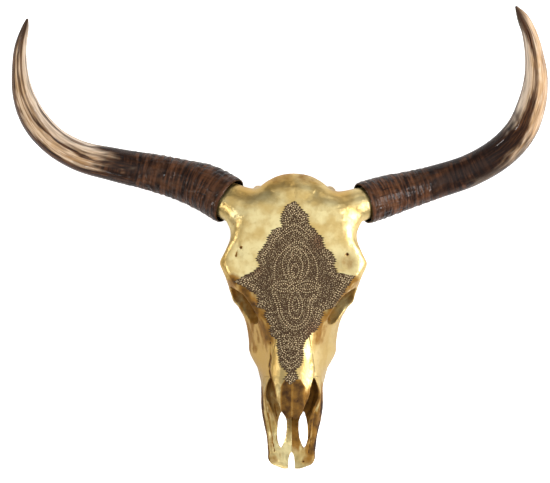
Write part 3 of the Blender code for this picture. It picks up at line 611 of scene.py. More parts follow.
def braincase():
    """The narrow box of the brain, flaring to the crest at the neck."""
    ys = steps(BRAIN_WIDTH[0][0], BRAIN_WIDTH[-1][0])
    sections = []
    for y in ys:
        width, height = through(BRAIN_WIDTH, y), through(BRAIN_HEIGHT, y)
        base_width, base_height = through(BRAIN_BASE_WIDTH, y), through(BRAIN_BASE_HEIGHT, y)
        sections.append(((0.0, BRAIN_TOP), (0.8 * width, 0.5 * (BRAIN_TOP + height)),
                         (width, height),
                         (0.5 * (width + base_width), 0.4 * height + 0.6 * base_height),
                         (base_width, base_height), (0.0, base_height - 0.004)))
    return loft("braincase", ys, sections)


def core_start(side):
    """Where a core begins inside the forehead."""
    return np.array(ROOT_START) * (side, 1, 1)


def horn_line(horn, reach):
    """Points along the horn's own curve from its rim, to this length, every few millimetres."""
    return on_path(np.array([point for point, _ in horn]), steps(0.0, reach, CORE_STEP))


def core_root(horn, side):
    """The thick root of the bony core, as far as the horn's mouth."""
    path = np.vstack([core_start(side), horn_line(horn, ROOT_REACH)])
    radii = np.full(len(path), horn[0][1] * ROOT_SHARE)
    radii[0] += ROOT_SPREAD
    return bar("root", path, [(r, r) for r in radii])


def core(horn, side):
    """The horn's bony core inside its sheath."""
    reach = CORE_SHARE[-1][0]
    line = horn_line(horn, reach)
    places = np.concatenate([[0.0], steps(0.0, reach, CORE_STEP)])
    radii = horn[0][1] * through(CORE_SHARE, places)
    return bar("core", np.vstack([core_start(side), line]), [(r, r) for r in radii], around=48)


def cavity():
    """The air way of the nose: rounded boxes, open at the front and upwards before the nasals."""
    ys = steps(CAVITY_WIDTH[0][0], CAVITY_WIDTH[-1][0])
    a = circle(AROUND)
    width = through(CAVITY_WIDTH, ys)[:, None]
    top, bottom = through(CAVITY_TOP, ys)[:, None], through(CAVITY_FLOOR, ys)[:, None]
    rings = np.stack([width * boxed(np.cos(a), 0.7), np.broadcast_to(ys[:, None], (len(ys), AROUND)),
                      0.5 * (top + bottom) + 0.5 * (top - bottom) * boxed(np.sin(a), 0.7)], axis=-1)
    return tube("cavity", rings)


def nasal_plate():
    """The arched roof of the nose, a thin vault that tapers to a blunt tip."""
    ys = steps(NASAL_WIDTH[0][0], NASAL_WIDTH[-1][0])[:, None]
    across = np.linspace(-1.0, 1.0, AROUND // 2)
    width, top = through(NASAL_WIDTH, ys), through(NASAL_TOP, ys)
    upper = top - NASAL_ARCH * (np.abs(across) * width / NASAL_FULL_WIDTH) ** 2
    lower = upper - NASAL_THICKNESS * (1.0 - 0.35 * across**2)
    x, y = width * across, np.broadcast_to(ys, upper.shape)
    rings = np.concatenate([np.stack([x, y, upper], axis=-1),
                            np.stack([x, y, lower], axis=-1)[:, ::-1]], axis=1)
    return tube("nasal", rings)


def whole_skull():
    """All the bone as one skin, with its sockets, air ways and holes cut."""
    axes = socket_axes()
    paired = [socket_rim(), bar("arch", ARCH_PATH, ARCH_SIZES), bar("bar", BAR_PATH, BAR_SIZES),
              ellipsoid("condyle", *CONDYLE), bar("process", PROCESS_PATH, PROCESS_SIZES),
              ellipsoid("bulla", *BULLA), ellipsoid("pterygoid", *PTERYGOID)]
    forms = [face_and_forehead(), braincase(), ellipsoid("poll", POLL_CENTRE, POLL_RADII),
             core_root(LEFT_HORN, -1), core_root(RIGHT_HORN, 1)]
    forms += paired + [mirrored(form) for form in paired]
    skull = fused(joined("cranium_bone", forms), 0)
    socket = ellipsoid("socket", ORBIT_CENTRE, (*ORBIT_RADII, ORBIT_DEPTH), axes)
    boolean(skull, "DIFFERENCE", socket, mirrored(socket), cavity(),
            ellipsoid("foramen", *FORAMEN), ellipsoid("choana", *CHOANA))
    plate = nasal_plate()
    boolean(plate, "DIFFERENCE", prism("tips", NASAL_TIP_NOTCH, "Z", -0.1, ABOVE))
    skull = fused(joined("cranium_bone", [skull, plate]), BONE_ROUNDS)
    for side in (-1, 1):
        outline = [(side * x + HOLE_LEAN, y) for x, y in HOLE_OUTLINE]
        boolean(skull, "DIFFERENCE", prism("hole", outline, "Z", UNDER_MUZZLE, MUZZLE_TOP))
    boolean(skull, "DIFFERENCE", prism("notch", NOTCH_OUTLINE, "Z", UNDER_MUZZLE, MUZZLE_TOP))
    return skull


# The bone's fine forms, in millimetres: soft swellings and hollows (centre, widths, height),
# furrows (points, width, depth) and small pits (centre, radius, depth)
SWELLINGS = (
    (-25, 455, 20, 13, 0.8), (24, 457, 20, 13, 1.2), (1, 452, 4, 16, -0.7), (106, 322, 9, 14, 0.9),
    (-106, 322, 9, 14, 0.7), (70, 196, 12, 16, 0.9), (-70, 196, 12, 16, 0.9),
    (-90, 347, 9, 12, -1.4), (90, 334, 11, 18, -1.5), (-34, 128, 5, 12, -0.8),
    (-60, 232, 10, 22, -0.7), (60, 232, 10, 22, -0.5))
FURROWS = (
    (((2, 440), (1, 447), (2, 453)), 1.5, 0.35),
    (((-88, 368), (-90, 356), (-93, 344)), 2.2, 0.8),
    (((-97, 395), (-96, 396)), 1.6, 0.6), (((-113, 427), (-112, 428)), 1.6, 0.6),
    (((-36, 205), (-35, 180), (-38, 165), (-35, 150), (-36, 140)), 1.1, 0.8),
    (((31, 148), (24, 100), (16, 60), (30, 20)), 1.0, 0.5),
    (((-40, 118), (-37, 80), (-32, 50), (-28, 28)), 1.6, 1.0),
    (((40, 112), (37, 80), (32, 50), (28, 28)), 1.6, 1.0),
    (((-46, 128), (-43.5, 95), (-38.5, 60), (-34, 34)), 2.6, -0.9),
    (((46, 128), (43.5, 95), (38.5, 60), (34, 34)), 2.6, -0.9))
PITS = ((-85, 357, 2.4, 2.6), (87, 348, 2.0, 1.8), (19, 12, 1.6, 1.8), (9, 111, 1.2, 0.9))


def carve(skull):
    """Rounds the bone where its forms flow together beside the poll, and moves each point along
    its normal by the height of the fine forms there."""
    mesh = skull.data
    points = read(mesh)
    x, y, z = (points / MM).T
    flow = (smooth_step(388, 412, y) * smooth_step(126, 112, np.abs(x)) * smooth_step(-64, -48, z)
            * smooth_step(478, 470, y))
    soft = spread(points, edge_array(mesh), FLOW_ROUNDS)
    write(mesh, points + 0.9 * flow[:, None] * (soft - points))
    points, normals = read(mesh), read(mesh, normals=True)
    write(mesh, points + normals * relief(points, normals)[:, None])
    return skull


def relief(points, normals):
    """Height of the fine forms: a sum of soft swellings, furrows along lines, small pits, noise
    drawn out along the muzzle, and two sizes of noise elsewhere."""
    flat = points[:, :2] / MM
    x, y = flat.T
    up = smooth_step(0.2, 0.7, normals[:, 2])
    height = 0.42 * turbulence(points, 0.026, 5, 2) + 0.16 * turbulence(points, 0.008, 6, 2)
    muzzle = smooth_step(150, 130, y) * smooth_step(4, 18, y)
    height += muzzle * 0.75 * turbulence(points * (1, 0.08, 1), 0.0055, 7, 2)
    height += muzzle * 0.25 * turbulence(points, 0.005, 9, 2)
    for cx, cy, rx, ry, rise in SWELLINGS:
        height += rise * up * hill(x, y, cx, cy, rx, ry)
    for line, width, depth in FURROWS:
        height -= depth * up * bell(to_line(flat, line), width)
    for cx, cy, radius, depth in PITS:
        height -= depth * up * spot(x, y, cx, cy, radius)
    return height * smooth_step(-1, 6, y) * MM - BONE_INSET


def seam_outline(spare):
    """The seam round both nasal bones, seen from above."""
    ys = steps(NASAL_CUT_WIDTH[0][0], NASAL_CUT_WIDTH[-1][0] + spare, 0.006)
    widths = through(NASAL_CUT_WIDTH, ys) + spare
    return [(w, y) for w, y in zip(widths, ys)] + [(-w, y) for w, y in zip(widths, ys)][::-1]


def muzzle_outline(spare):
    """The seam behind the premaxillae, seen from the side."""
    rear = [(y + spare, z - 0.6 * spare) for y, z in MUZZLE_CUT]
    low, high = UNDER_MUZZLE, MUZZLE_TOP + spare
    return [(-0.02, low), (rear[0][0], low), *rear, (rear[-1][0], high), (-0.02, high)]


def side_box(side):
    """A block that holds one side of the skull. Its face at the midline is bent like a suture, so
    no light falls straight through between the two bones."""
    face = [(side * SEAM_GAP / 2 + shift, height) for height, shift in SUTURE_BEND]
    return prism("side", face + [(side * FAR, FAR), (side * FAR, -FAR)], "Y", -FAR, FAR)


def part_pair(skull, name, outline, axis, low, high):
    """Cuts a pair of bones out of the skull along its seam. Returns the left and right one."""
    pair = []
    for word, side in (("left", -1), ("right", 1)):
        bone = add_object(f"{name}_{word}_bone", skull.data.copy())
        boolean(bone, "INTERSECT", prism("seam", outline(-SEAM_GAP / 2), axis, low, high),
                side_box(side))
        pair.append(bone)
    boolean(skull, "DIFFERENCE", prism("seam", outline(SEAM_GAP / 2), axis, low, high))
    return pair


# Where brown and painted shade lie, in millimetres: lines along the muzzle (points, width, darkness),
# the outermost of each side painted shade along its edge; the groove before the right eye, painted
# shade; the left suture; and spots (centre, radius, darkness), mostly painted shade in pits and hollows
MUZZLE_LINES = (
    (((-50, 132), (-48.5, 115), (-46.5, 90), (-41.5, 60), (-37.5, 35), (-36.5, 12)), 2.4, 0.95),
    (((-35, 152), (-31, 138), (-27, 120), (-28, 100), (-25, 86)), 2.0, 0.85),
    (((-44, 120), (-42, 100), (-36, 74), (-31, 48)), 1.5, 0.6),
    (((50, 132), (48.5, 115), (46.5, 90), (41.5, 60), (37.5, 35), (36.5, 12)), 3.2, 0.95),
    (((36, 145), (38, 118), (36, 98), (31, 80), (29, 60), (27, 44)), 2.6, 0.9),
    (((44, 118), (43, 90), (38, 60), (34, 36)), 2.0, 0.75))
EYE_GROOVE_SHADE = ((98, 304), (76, 284), (61, 260), (47, 236), (40, 212))
LEFT_SUTURE = ((-36, 205), (-35, 180), (-38, 165), (-35, 150), (-34, 140))
BROWN_SPOTS = (
    (-84.5, 357.5, 2.7, 0.9), (86, 348, 2.5, 0.8), (19, 12, 1.8, 1.0), (-30, 15, 8, 0.50),
    (28, 15, 11, 0.50), (9, 111, 1.6, 0.8), (2, 95, 2.2, 0.9), (-97, 395, 1.8, 0.4),
    (-113, 427, 1.8, 0.4), (88, 336, 15, 0.26), (-90, 345, 8, 0.12))


def sunk_under(points, normals, edges):
    """How many millimetres each point lies under its near and its wider neighbourhood."""
    total = 0.0
    for rounds, gain in ((4, 1.0), (20, 0.5)):
        gap = np.einsum("ij,ij->i", spread(points, edges, rounds) - points, normals) / MM
        total = total + gain * gap
    return total


def socket_shade(points):
    """Painted shade inside the eye sockets, darker towards the muzzle and in streaks."""
    axes, stain_and_shade = socket_axes(), 0.0
    darker = 0.16 + 0.22 * smooth_step(285, 245, points[:, 1] / MM)
    for side in (-1, 1):
        local = (points * (side, 1, 1) - np.array(ORBIT_CENTRE)) @ axes
        reach = np.linalg.norm(local / (*ORBIT_RADII, ORBIT_DEPTH), axis=1)
        inside = smooth_step(1.10, 0.97, reach) * smooth_step(0.012, -0.008, local[:, 2])
        drawn = smooth_step(0.48, 0.66, noise(local * (0.12, 1, 0.4), 0.0042, 41))
        stain_and_shade = np.maximum(stain_and_shade, inside * (darker + 0.42 * drawn))
    return stain_and_shade


def nose_shade_and_stain(points, up):
    """Painted shade in the air way of the nose and on the bars between its holes, heavier on the right
    bar, and brown on the nasals' tip.
    """
    x, y, z = (points / MM).T
    across = np.abs(x - 1)
    wall = np.abs(points[:, 0]) / through(CAVITY_WIDTH, points[:, 1])
    # painted shade deep in the air way
    airway_shade = (smooth_step(156, 140, y) * smooth_step(-18, -27, z) * smooth_step(1.03, 0.97, wall)
              * smooth_step(46, 96, y) * np.where(x > 0, 0.74, 0.42))
    # painted shade on the bars, the right one darker than the left
    bar_shade = (smooth_step(12, 8, np.abs(x - 3)) * smooth_step(100, 84, y) * smooth_step(18, 40, y)
            * np.where(x > 0.3, 0.62, 0.15))
    tip = (smooth_step(24, 16, across) * smooth_step(-26, -20, z)
           * smooth_step(149, 143, y + 1.5 * np.maximum(across - 12, 0))
           * (1.0 - 0.35 * smooth_step(1.5, 0.5, np.abs(x))))
    return np.maximum.reduce([airway_shade, bar_shade * up, 0.80 * tip * up])


def muzzle_stain_and_shade(points, normals, grain):
    """Brown lines, streaks and browning along the muzzle, more on its right side, with painted shade in
    its outermost lines, on its steep rims and along its outer edges.
    """
    flat = points[:, :2] / MM
    x, y = flat.T
    right = x > 0
    lined = 0.0
    for line, width, dark in MUZZLE_LINES:
        lined = np.maximum(lined, dark * bell(to_line(flat, line), width))
    lined = lined * smooth_step(0.20, 0.48, noise(points * (1, 0.3, 1), 0.007, 29) + 0.05)
    # painted shade on faces that turn steeply away, heavier on the right
    rim_shade = (smooth_step(0.5, 0.05, normals[:, 2]) * smooth_step(150, 90, y)
            * np.where(right, 0.7, 0.25))
    streaks = (smooth_step(0.52, 0.74, noise(points * (1, 0.09, 1), 0.0036, 21))
               * smooth_step(140, 118, y) * np.where(right, 0.72, 0.34)
               * smooth_step(14, 20, np.abs(x)) * smooth_step(10, 24, y))
    # painted shade along the muzzle's outer edges
    inset = (through(SIDE_WIDTH, points[:, 1]) - np.abs(points[:, 0])) / MM
    outer = (smooth_step(5.5, 1.5, inset) * smooth_step(8, 22, y) * smooth_step(150, 120, y)
             * (0.55 + 0.55 * smooth_step(0.3, 0.6, grain)) * np.where(right, 1.0, 0.7))
    browned = (smooth_step(11, 16, x) * smooth_step(150, 120, y) * smooth_step(14, 26, y)
               * (0.26 + 0.5 * smooth_step(0.3, 0.7, grain)))
    return np.maximum.reduce([lined, rim_shade, streaks, outer, browned])


def face_stain_and_shade(points, normals, grain, up):
    """Brown along the left suture, and painted shade in the grooves before the eyes, on the left cheek,
    under the skull, along the back of the poll and in spots."""
    flat = points[:, :2] / MM
    x, y = flat.T
    seam = (bell(to_line(flat, LEFT_SUTURE), 1.5)
            * smooth_step(0.35, 0.65, noise(points, 0.009, 23) + 0.25 * smooth_step(180, 150, y)))
    # painted shade along the grooves before the eyes
    groove_shade = 0.0
    for side, deep in ((-1, 0.78), (1, 0.55)):
        line = np.array(EYE_GROOVE_SHADE) * (side, 1)
        groove_shade = np.maximum(groove_shade, deep * bell(to_line(flat, line), 11.0))
    groove_shade = groove_shade * smooth_step(-0.10, 0.50, grain)
    # painted shade on the left cheek
    cheek_shade = (smooth_step(-36, -44, x) * smooth_step(178, 196, y) * smooth_step(285, 262, y)
             * (0.16 + 0.34 * smooth_step(0.4, 0.7, grain)))
    # painted shade on faces that point down
    under_shade = 0.55 * smooth_step(0.05, -0.5, normals[:, 2])
    # painted shade along the back edge of the poll, broken by noise
    poll = 0.36 * smooth_step(450, 470, y) * (0.4 + 0.9 * noise(points, 0.014, 25))
    # dark spots: mostly painted shade in pits and hollows
    spots = 0.0
    for cx, cy, radius, dark in BROWN_SPOTS:
        spots = np.maximum(spots, dark * spot(x, y, cx, cy, radius))
    return np.maximum.reduce([seam * up, groove_shade, cheek_shade, under_shade, poll, spots * up])


def stain_and_shade_bone(obj):
    """Stores where brown stains and painted shade lie, from how far a point lies under its
    neighbourhood and from its place, and where painted shade dulls the gold and where it warms it."""
    mesh = obj.data
    points, normals = read(mesh), read(mesh, normals=True)
    up = smooth_step(0.0, 0.4, normals[:, 2])
    grain = noise(points * (1, 0.25, 1), 0.006, 27)
    # painted shade in the hollows, with the brown wash there: darker the deeper a point lies under its
    # neighbourhood
    hollow_shade = smooth_step(0.12, 0.75, sunk_under(points, normals, edge_array(mesh)))
    stain_and_shade = np.maximum.reduce([
        hollow_shade, socket_shade(points), nose_shade_and_stain(points, up), muzzle_stain_and_shade(points, normals, grain),
        face_stain_and_shade(points, normals, grain, up)])
    paint(mesh, "stain_and_shade", np.clip(stain_and_shade, 0, 1))
    x, y = (points[:, :2] / MM).T
    # painted shade that dulls the gold on the left of the face, half as much on the right, and in the
    # hollow of the right brow
    dull_shade = smooth_step(-6, -17, x) + 0.5 * smooth_step(36, 50, x)
    dull_shade = dull_shade * smooth_step(320, 240, y) * smooth_step(110, 140, y)
    paint(mesh, "dull_shade", np.maximum(dull_shade, 0.7 * hill(x, y, 84, 334, 18, 15)))
    # painted shade that warms and darkens the gold at the back, on the saddles by the horns and on
    # slopes, most on the left
    back = smooth_step(440, 464, y) * (0.35 + 0.65 * smooth_step(12, -12, x))
    saddle_shade = bell(np.abs(x) - 78, 24) * smooth_step(425, 445, y)
    slope_shade = (smooth_step(0.97, 0.80, normals[:, 2])
             * np.where(x < 0, 0.9 - 0.7 * smooth_step(335, 365, y), 0.45)
             * (0.35 + 0.65 * smooth_step(130, 160, y)))
    paint(mesh, "warm_shade", np.clip(np.maximum.reduce([back, saddle_shade, slope_shade]), 0, 1))


def tooth_grid(index, start, side):
    """A cheek tooth: a rounded outline with one or two lobes, carried down from root to crown,
    with ribs down its outer face and ridges of enamel on its worn top."""
    length, width = TOOTH_LENGTHS[index], TOOTH_WIDTHS[index]
    middle = start + 0.5 * length
    lobes = 1 if index < 3 else 2
    a = circle(48)
    waist = 1.0 - 0.16 * (lobes - 1) * np.exp(-((np.cos(a) / 0.35) ** 2))
    fluted = 1.0 + 0.035 * np.cos(a * 4 * lobes)
    x = 0.5 * width * waist * fluted * boxed(np.sin(a), 0.6)
    y = 0.5 * length * fluted * boxed(np.cos(a), 0.6)
    wall, inwards = np.linspace(0, 1, 14), (0.97, 0.92, 0.84, 0.72, 0.60, 0.46, 0.32, 0.18, 0.06)
    down = np.concatenate([wall, np.ones(len(inwards))])[:, None]
    scale = np.concatenate([0.92 + 0.08 * np.sin(wall * np.pi * 0.55), inwards])[:, None]
    ys = middle + y * scale
    top = through(ROOT_TOP, ys)
    bottom = np.maximum(through(CROWN_FLOOR, ys), FLOOR_LEVEL + TOOTH_SPARE)
    worn = np.zeros((len(scale), len(a)))
    ring = np.linspace(0, 1, len(inwards))[:, None]
    worn[len(wall):] = 0.0016 * np.sin(ring * np.pi * 2.5) ** 2 * (1 - 0.3 * ring)
    z = top + (bottom - top) * down + worn
    centre = side * through(ROW_X, middle)
    return tube("tooth", np.stack([centre + side * x * scale + 0 * z, ys, z], axis=-1))


def tooth_row(side, word):
    """The six cheek teeth of one side."""
    start, row = FIRST_TOOTH_Y, []
    for index, length in enumerate(TOOTH_LENGTHS):
        row.append(tooth_grid(index, start, side))
        start += length + TOOTH_GAP
    return joined(f"cheek_teeth_{word}", row)


def horn_sheath(name, horn, side, marks):
    """A hollow horn: circles carried along its curve, with ribs near the mouth, a rounded rim and
    an inner wall that runs in and closes round the core."""
    points = np.array([point for point, _ in horn])
    radii = np.array([radius for _, radius in horn])
    length = lengths_along(points)[-1]
    outside = steps(0.0, length, HORN_STEP)
    inside = np.concatenate([steps(MOUTH_DEPTH * 3.5, MOUTH_DEPTH, CORE_STEP),
                             steps(MOUTH_DEPTH, 0.0, 0.002)[1:]])
    places = np.concatenate([inside, outside])
    centres = on_path(points, places)
    across, upright = (unit(np.stack([np.interp(places, outside, axis[:, k]) for k in range(3)], 1))
                       for axis in frames_along(on_path(points, outside)))
    a = circle(HORN_AROUND)
    spoke = (across[:, None] * np.cos(a)[None, :, None] + upright[:, None] * np.sin(a)[None, :, None])
    straight = np.stack(np.broadcast_arrays(
        STRAIGHT_RADIUS * np.cos(a), STRAIGHT_RADIUS * np.sin(a), places[:, None]), -1)
    lip = SHEATH_WALL * (1 - np.sqrt(1 - (1 - np.clip(outside / SHEATH_WALL, 0, 1)) ** 2))[:, None]
    outer = (on_path(points, outside, radii)[:, None] - 0.6 * lip
             + ribs(straight[len(inside):], outside, length, marks["ribbed"]))
    wall = horn[0][1] - SHEATH_WALL
    core_radius = horn[0][1] * through(CORE_SHARE, inside) + CORE_SPARE
    mouth = np.where(inside < MOUTH_DEPTH, core_radius + (wall - core_radius)
                     * smooth_step(MOUTH_DEPTH, 0.0, inside) ** 0.7, core_radius)
    inner = np.broadcast_to(mouth[:, None], (len(inside), len(a)))
    rings = centres[:, None] + spoke * np.concatenate([inner, outer])[..., None]
    obj = tube(name, rings)
    flat = np.vstack([straight.reshape(-1, 3), (0, 0, inside[0]), (0, 0, length)])
    # the mouth's inner wall, marked for painted shade: the material makes it near black
    mouth_shade = np.concatenate([np.ones(inner.size), np.zeros(outer.size), (1, 0)])
    paint(obj.data, "straight", flat)
    paint(obj.data, "mouth_shade", mouth_shade)
    for word, values in horn_marks(flat, side, marks).items():
        paint(obj.data, word, values)
    return obj


def ribs(straight, along, length, ribbed):
    """Height of the growth rings: waves along the horn, bent and broken by noise, that fade out
    past the ribbed part, with cracks across them and along them."""
    s = along[:, None] + 0.010 * (noise(straight, 0.035, 11) - 0.5)
    fade = smooth_step(1.2, 0.7, along / ribbed)[:, None]
    swell = 0.35 + 1.1 * noise(straight * (1, 1, 2.0), 0.03, 16)
    wave = swell * np.sin(2 * np.pi * s / 0.0150 + 7.0 * (noise(straight, 0.045, 12) - 0.5))
    fine = np.sin(2 * np.pi * s / 0.0056 + 13.0 * (noise(straight, 0.018, 13) - 0.5))
    rough = turbulence(straight * (1, 1, 2.2), 0.007, 14, 2)
    crack = smooth_step(0.66, 0.78, noise(straight * (1, 1, 0.22), 0.0034, 17))
    base = 0.36 * wave + 0.16 * fine + 0.60 * rough - 0.55 * crack
    smooth = 0.30 * turbulence(straight * (1, 1, 0.25), 0.012, 15, 2)
    tip = smooth_step(length, length - 0.03, along)[:, None]
    rim = smooth_step(0.0, 0.004, along)[:, None]
    return MM * tip * rim * (fade * base + (1 - fade) * smooth) - 0.0006 * tip


# The horns' marks, by place along the horn. Ribbed is how far its rings reach, in metres. The rest
# is in millimetres: where it turns pale, where its tip darkens, its streaks (place, middle, half
# width, darkness; the middle is 1 at the inner edge of the curve and -1 at the outer one) and its
# soot (place, darkness). Stripe is how pale the outer edge is before that
LEFT_MARKS = dict(
    ribbed=0.185, pale=(200, 268), stripe=0.0, tip=(505, 550),
    streaks=(((205, 0.05, 0.30, 1.0), (240, 0.0, 0.10, 0.9), (275, 0.12, 0.13, 1.0),
              (330, 0.28, 0.15, 1.0), (400, 0.0, 0.13, 0.8), (470, -0.25, 0.16, 0.8),
              (530, -0.2, 0.3, 0.8)),
             ((200, -0.78, 0.34, 1.0), (260, -0.84, 0.24, 1.0), (330, -0.86, 0.26, 1.0),
              (430, -0.85, 0.22, 0.9), (550, -0.80, 0.30, 0.9)),
             ((200, 0.80, 0.20, 1.0), (240, 0.80, 0.08, 0.8), (400, 0.84, 0.06, 0.8),
              (540, 0.70, 0.05, 0.5)),
             ((380, 0.35, 0.09, 0.5), (460, 0.25, 0.12, 0.8), (550, 0.1, 0.3, 0.9))),
    soot=((150, 0.35), (178, 0.85), (205, 0.85), (232, 0.35), (262, 0.0)))
RIGHT_MARKS = dict(
    ribbed=0.125, pale=(250, 318), stripe=0.75, tip=(488, 535),
    streaks=(((225, 0.2, 0.8, 1.0), (262, 0.25, 0.62, 1.0), (300, 0.10, 0.44, 1.0),
              (345, 0.02, 0.28, 0.95), (390, 0.02, 0.17, 0.8), (440, 0.0, 0.20, 0.8),
              (480, 0.2, 0.45, 0.9), (535, 0.3, 0.7, 0.9)),
             ((230, 0.92, 0.20, 1.0), (300, 0.95, 0.10, 0.9), (420, 0.97, 0.05, 0.6),
              (535, 0.9, 0.20, 0.7)),
             ((230, -0.95, 0.08, 0.7), (330, -0.98, 0.06, 0.5), (535, -0.98, 0.05, 0.5))),
    soot=((70, 0.2), (118, 0.6), (150, 0.9), (235, 1.0), (285, 0.7), (335, 0.0)))


def horn_marks(straight, side, marks):
    """The horn's colouring, each from 0 to 1 at every point: how far it has turned pale, its pale
    inner edge, its dark streaks with painted shade along its underside, its soot black and its dark
    tip. All edges are bent by noise drawn out along the horn."""
    s = straight[:, 2] / MM
    inner = -side * straight[:, 0] / STRAIGHT_RADIUS
    facing = straight[:, 1] / STRAIGHT_RADIUS
    long = noise(straight * (1, 1, 0.10) + 0.0023, 0.005, 31)
    longer = noise(straight * (1, 1, 0.07), 0.011, 32)
    patch = noise(straight * (1, 1, 0.5), 0.012, 33)
    fine = noise(straight * (1, 1, 0.06), 0.0026, 34)
    slanted = straight + straight[:, :1] * (0, 0, 1.6) - straight[:, 1:2] * (0, 0, 1.1)
    blotch = (0.6 * noise(slanted * (1, 1, 0.4), 0.011, 35)
              + 0.4 * noise(slanted * (1, 1, 0.5), 0.005, 36))
    low, high = marks["pale"]
    reach = s + 58 * (longer - 0.5) + 34 * (long - 0.5) + 16 * (patch - 0.5) + 110 * (blotch - 0.5)
    stripe = (marks["stripe"] * bell(inner + 0.86, 0.22) * smooth_step(160, 190, reach)
              * smooth_step(-0.5, -0.2, facing))
    pale = np.maximum(smooth_step(low, high, reach - 10 * (inner + 0.2)), stripe)
    bent = inner + 0.22 * (longer - 0.5) + 0.16 * (long - 0.5)
    frayed = 1.1 * (fine - 0.5) + 0.9 * (blotch - 0.5)
    dark = np.zeros(len(s))
    for table in marks["streaks"]:
        knots, middle, half, depth = np.array(table, float).T
        off = np.abs(bent - np.interp(s, knots, middle)) / np.interp(s, knots, half)
        dark = np.maximum(dark, np.interp(s, knots, depth) * smooth_step(1.25, 0.55, off + frayed))
    dark *= smooth_step(low - 40, low - 10, s)
    # painted shade: darker on the horn's underside, broken by noise
    dark = np.where(facing < -0.15, np.maximum(dark, 0.6 * smooth_step(0.45, 0.6, longer)), dark)
    soot = (np.interp(s + 40 * (patch - 0.5) + 110 * (blotch - 0.5), *np.array(marks["soot"], float).T)
            * smooth_step(0.28, 0.60, 0.5 * longer + 0.5 * blotch + 0.12))
    return {
        "pale": pale,
        "inside": 0.75 * smooth_step(0.25, 0.75, inner + 0.3 * (longer - 0.5))
        * smooth_step(180, 260, s),
        "streak_and_shade": np.clip(dark + 0.35 * smooth_step(0.62, 0.8, fine), 0, 1),
        "soot": np.clip(soot, 0, 1),
        "tip": smooth_step(*marks["tip"], s + 22 * (longer - 0.5) + 14 * side * inner),
    }


# Left and right edges of the lozenge, as place along the skull and place across, in millimetres
LEFT_EDGE = ((137, -3), (146, -14.5), (155, -7), (168, -19.5), (185, -23.5), (211, -26), (217, -37),
             (233, -37), (246, -46), (257, -44.5), (262, -59.5), (277, -56), (284, -63),
             (303, -95.5), (318, -67), (327, -54.5), (341, -60), (354, -53), (364, -44.5),
             (371, -43), (386, -34.5), (392, -19), (406, -21.5), (425, -13.5), (433.5, 1))
RIGHT_EDGE = ((137, -2.6), (148, 10), (161, 4.6), (168, 13.7), (181, 17.3), (200, 17), (211, 22.6),
              (231, 42.7), (257, 50), (263, 68), (297, 88), (313, 99), (319, 71.5), (328, 66),
              (342, 67.5), (354, 58), (360, 49), (374, 47), (385, 36), (399, 23), (409, 24),
              (420, 13), (433.5, 1.6))
TOOTH_PITCH = 3.8
SCALLOP_PITCH = 12.5
BEAD_PITCH = 3.5
BEAD_GAP = 2.8
GRAIN_GAP = 2.05
STROKE_INSET = 3.0
BORDER_ROWS = (7.2, 10.8)
GROUND_RISE = 0.00025
GROUND_THICKNESS = 0.0008

# A dome: how far out each of its rings is and how high, and the height of its top and foot, as
# shares of the dot's size
DOME_RINGS = ((1.0, -0.2), (0.82, 0.4), (0.42, 0.736))
DOME_CAPS = (0.8, -0.3)

# Where dots are reddish, in millimetres: how much, centre and widths
REDDISH = ((1.0, 40, 368, 12, 16), (1.0, 32, 222, 10, 20), (0.7, -58, 322, 8, 8))

# Rows of dots inside it, in millimetres: the four petals and the frame round them, the arches
# above, and the small frame, rings and points below
PETALS = (
    ((-0.5, 286), (-5.8, 273), (-5.6, 255), (-0.1, 245), (7.5, 244), (13.9, 253), (14.7, 269),
     (10.4, 282), (4.8, 289), (-0.5, 286)),
    ((0.0, 301), (-7.5, 317), (-8.0, 333), (3.5, 347), (14.5, 334), (13.5, 318), (5, 302), (0, 301)),
    ((0, 297), (-9, 303), (-21, 304), (-33, 296), (-21, 288), (-9, 288), (0, 293)),
    ((5, 297), (15, 303), (30, 304), (43.5, 296), (30, 287), (15, 287), (5, 293)))
ROWS = (
    ((-28.5, 300), (-28.5, 286), (-20.9, 265), (-18.5, 252), (-8.7, 237), (1, 231), (17.2, 238),
     (23.5, 250), (26.6, 271), (34, 284), (36, 300)),
    ((-33.5, 300), (-33, 284), (-25.5, 263), (-22.5, 250), (-11, 233), (1, 226), (20, 234),
     (28, 249), (31.5, 270), (39, 283), (41, 300)),
    ((-28.5, 300), (-31, 318), (-28, 336), (-12.6, 356), (4.9, 368), (22.5, 357), (36, 336),
     (39, 318), (36, 300)),
    ((-3, 300), (-15, 317), (-17, 338), (4, 360), (24, 338), (22, 317), (8, 300)),
    ((-27, 374), (-18, 383), (-8, 391), (-0.3, 395), (14.3, 388), (23.2, 380), (30, 372)),
    ((-22, 372), (-12, 380), (1, 386), (12, 381), (22, 372)),
    ((-10, 404), (1, 413), (12, 404)), ((-8, 414), (1, 423), (9, 414)),
    ((-4, 346), (-1, 353), (4, 356), (10, 353), (13, 346)), ((0, 345), (4, 350), (9, 345)),
    ((-21.4, 215), (-19.1, 201), (-16.8, 192), (-8.2, 185), (-1.7, 181), (6.9, 186), (11.1, 201),
     (15.2, 214), (13, 222)),
    ((-14, 212), (-12.5, 217), (-8.5, 218), (-5.5, 214), (-6.5, 209), (-11, 208), (-14, 212)),
    ((-9, 201), (-4.3, 206), (0, 201), (-4.3, 196), (-9, 201)), ((2, 214), (6, 205), (2, 196)),
    ((-17, 182), (-2, 172), (12, 182)), ((-15, 174), (-2.5, 163), (10, 174)),
    ((-14, 147.5), (-8, 143), (-2.7, 138.6), (4, 143), (9.6, 148)))


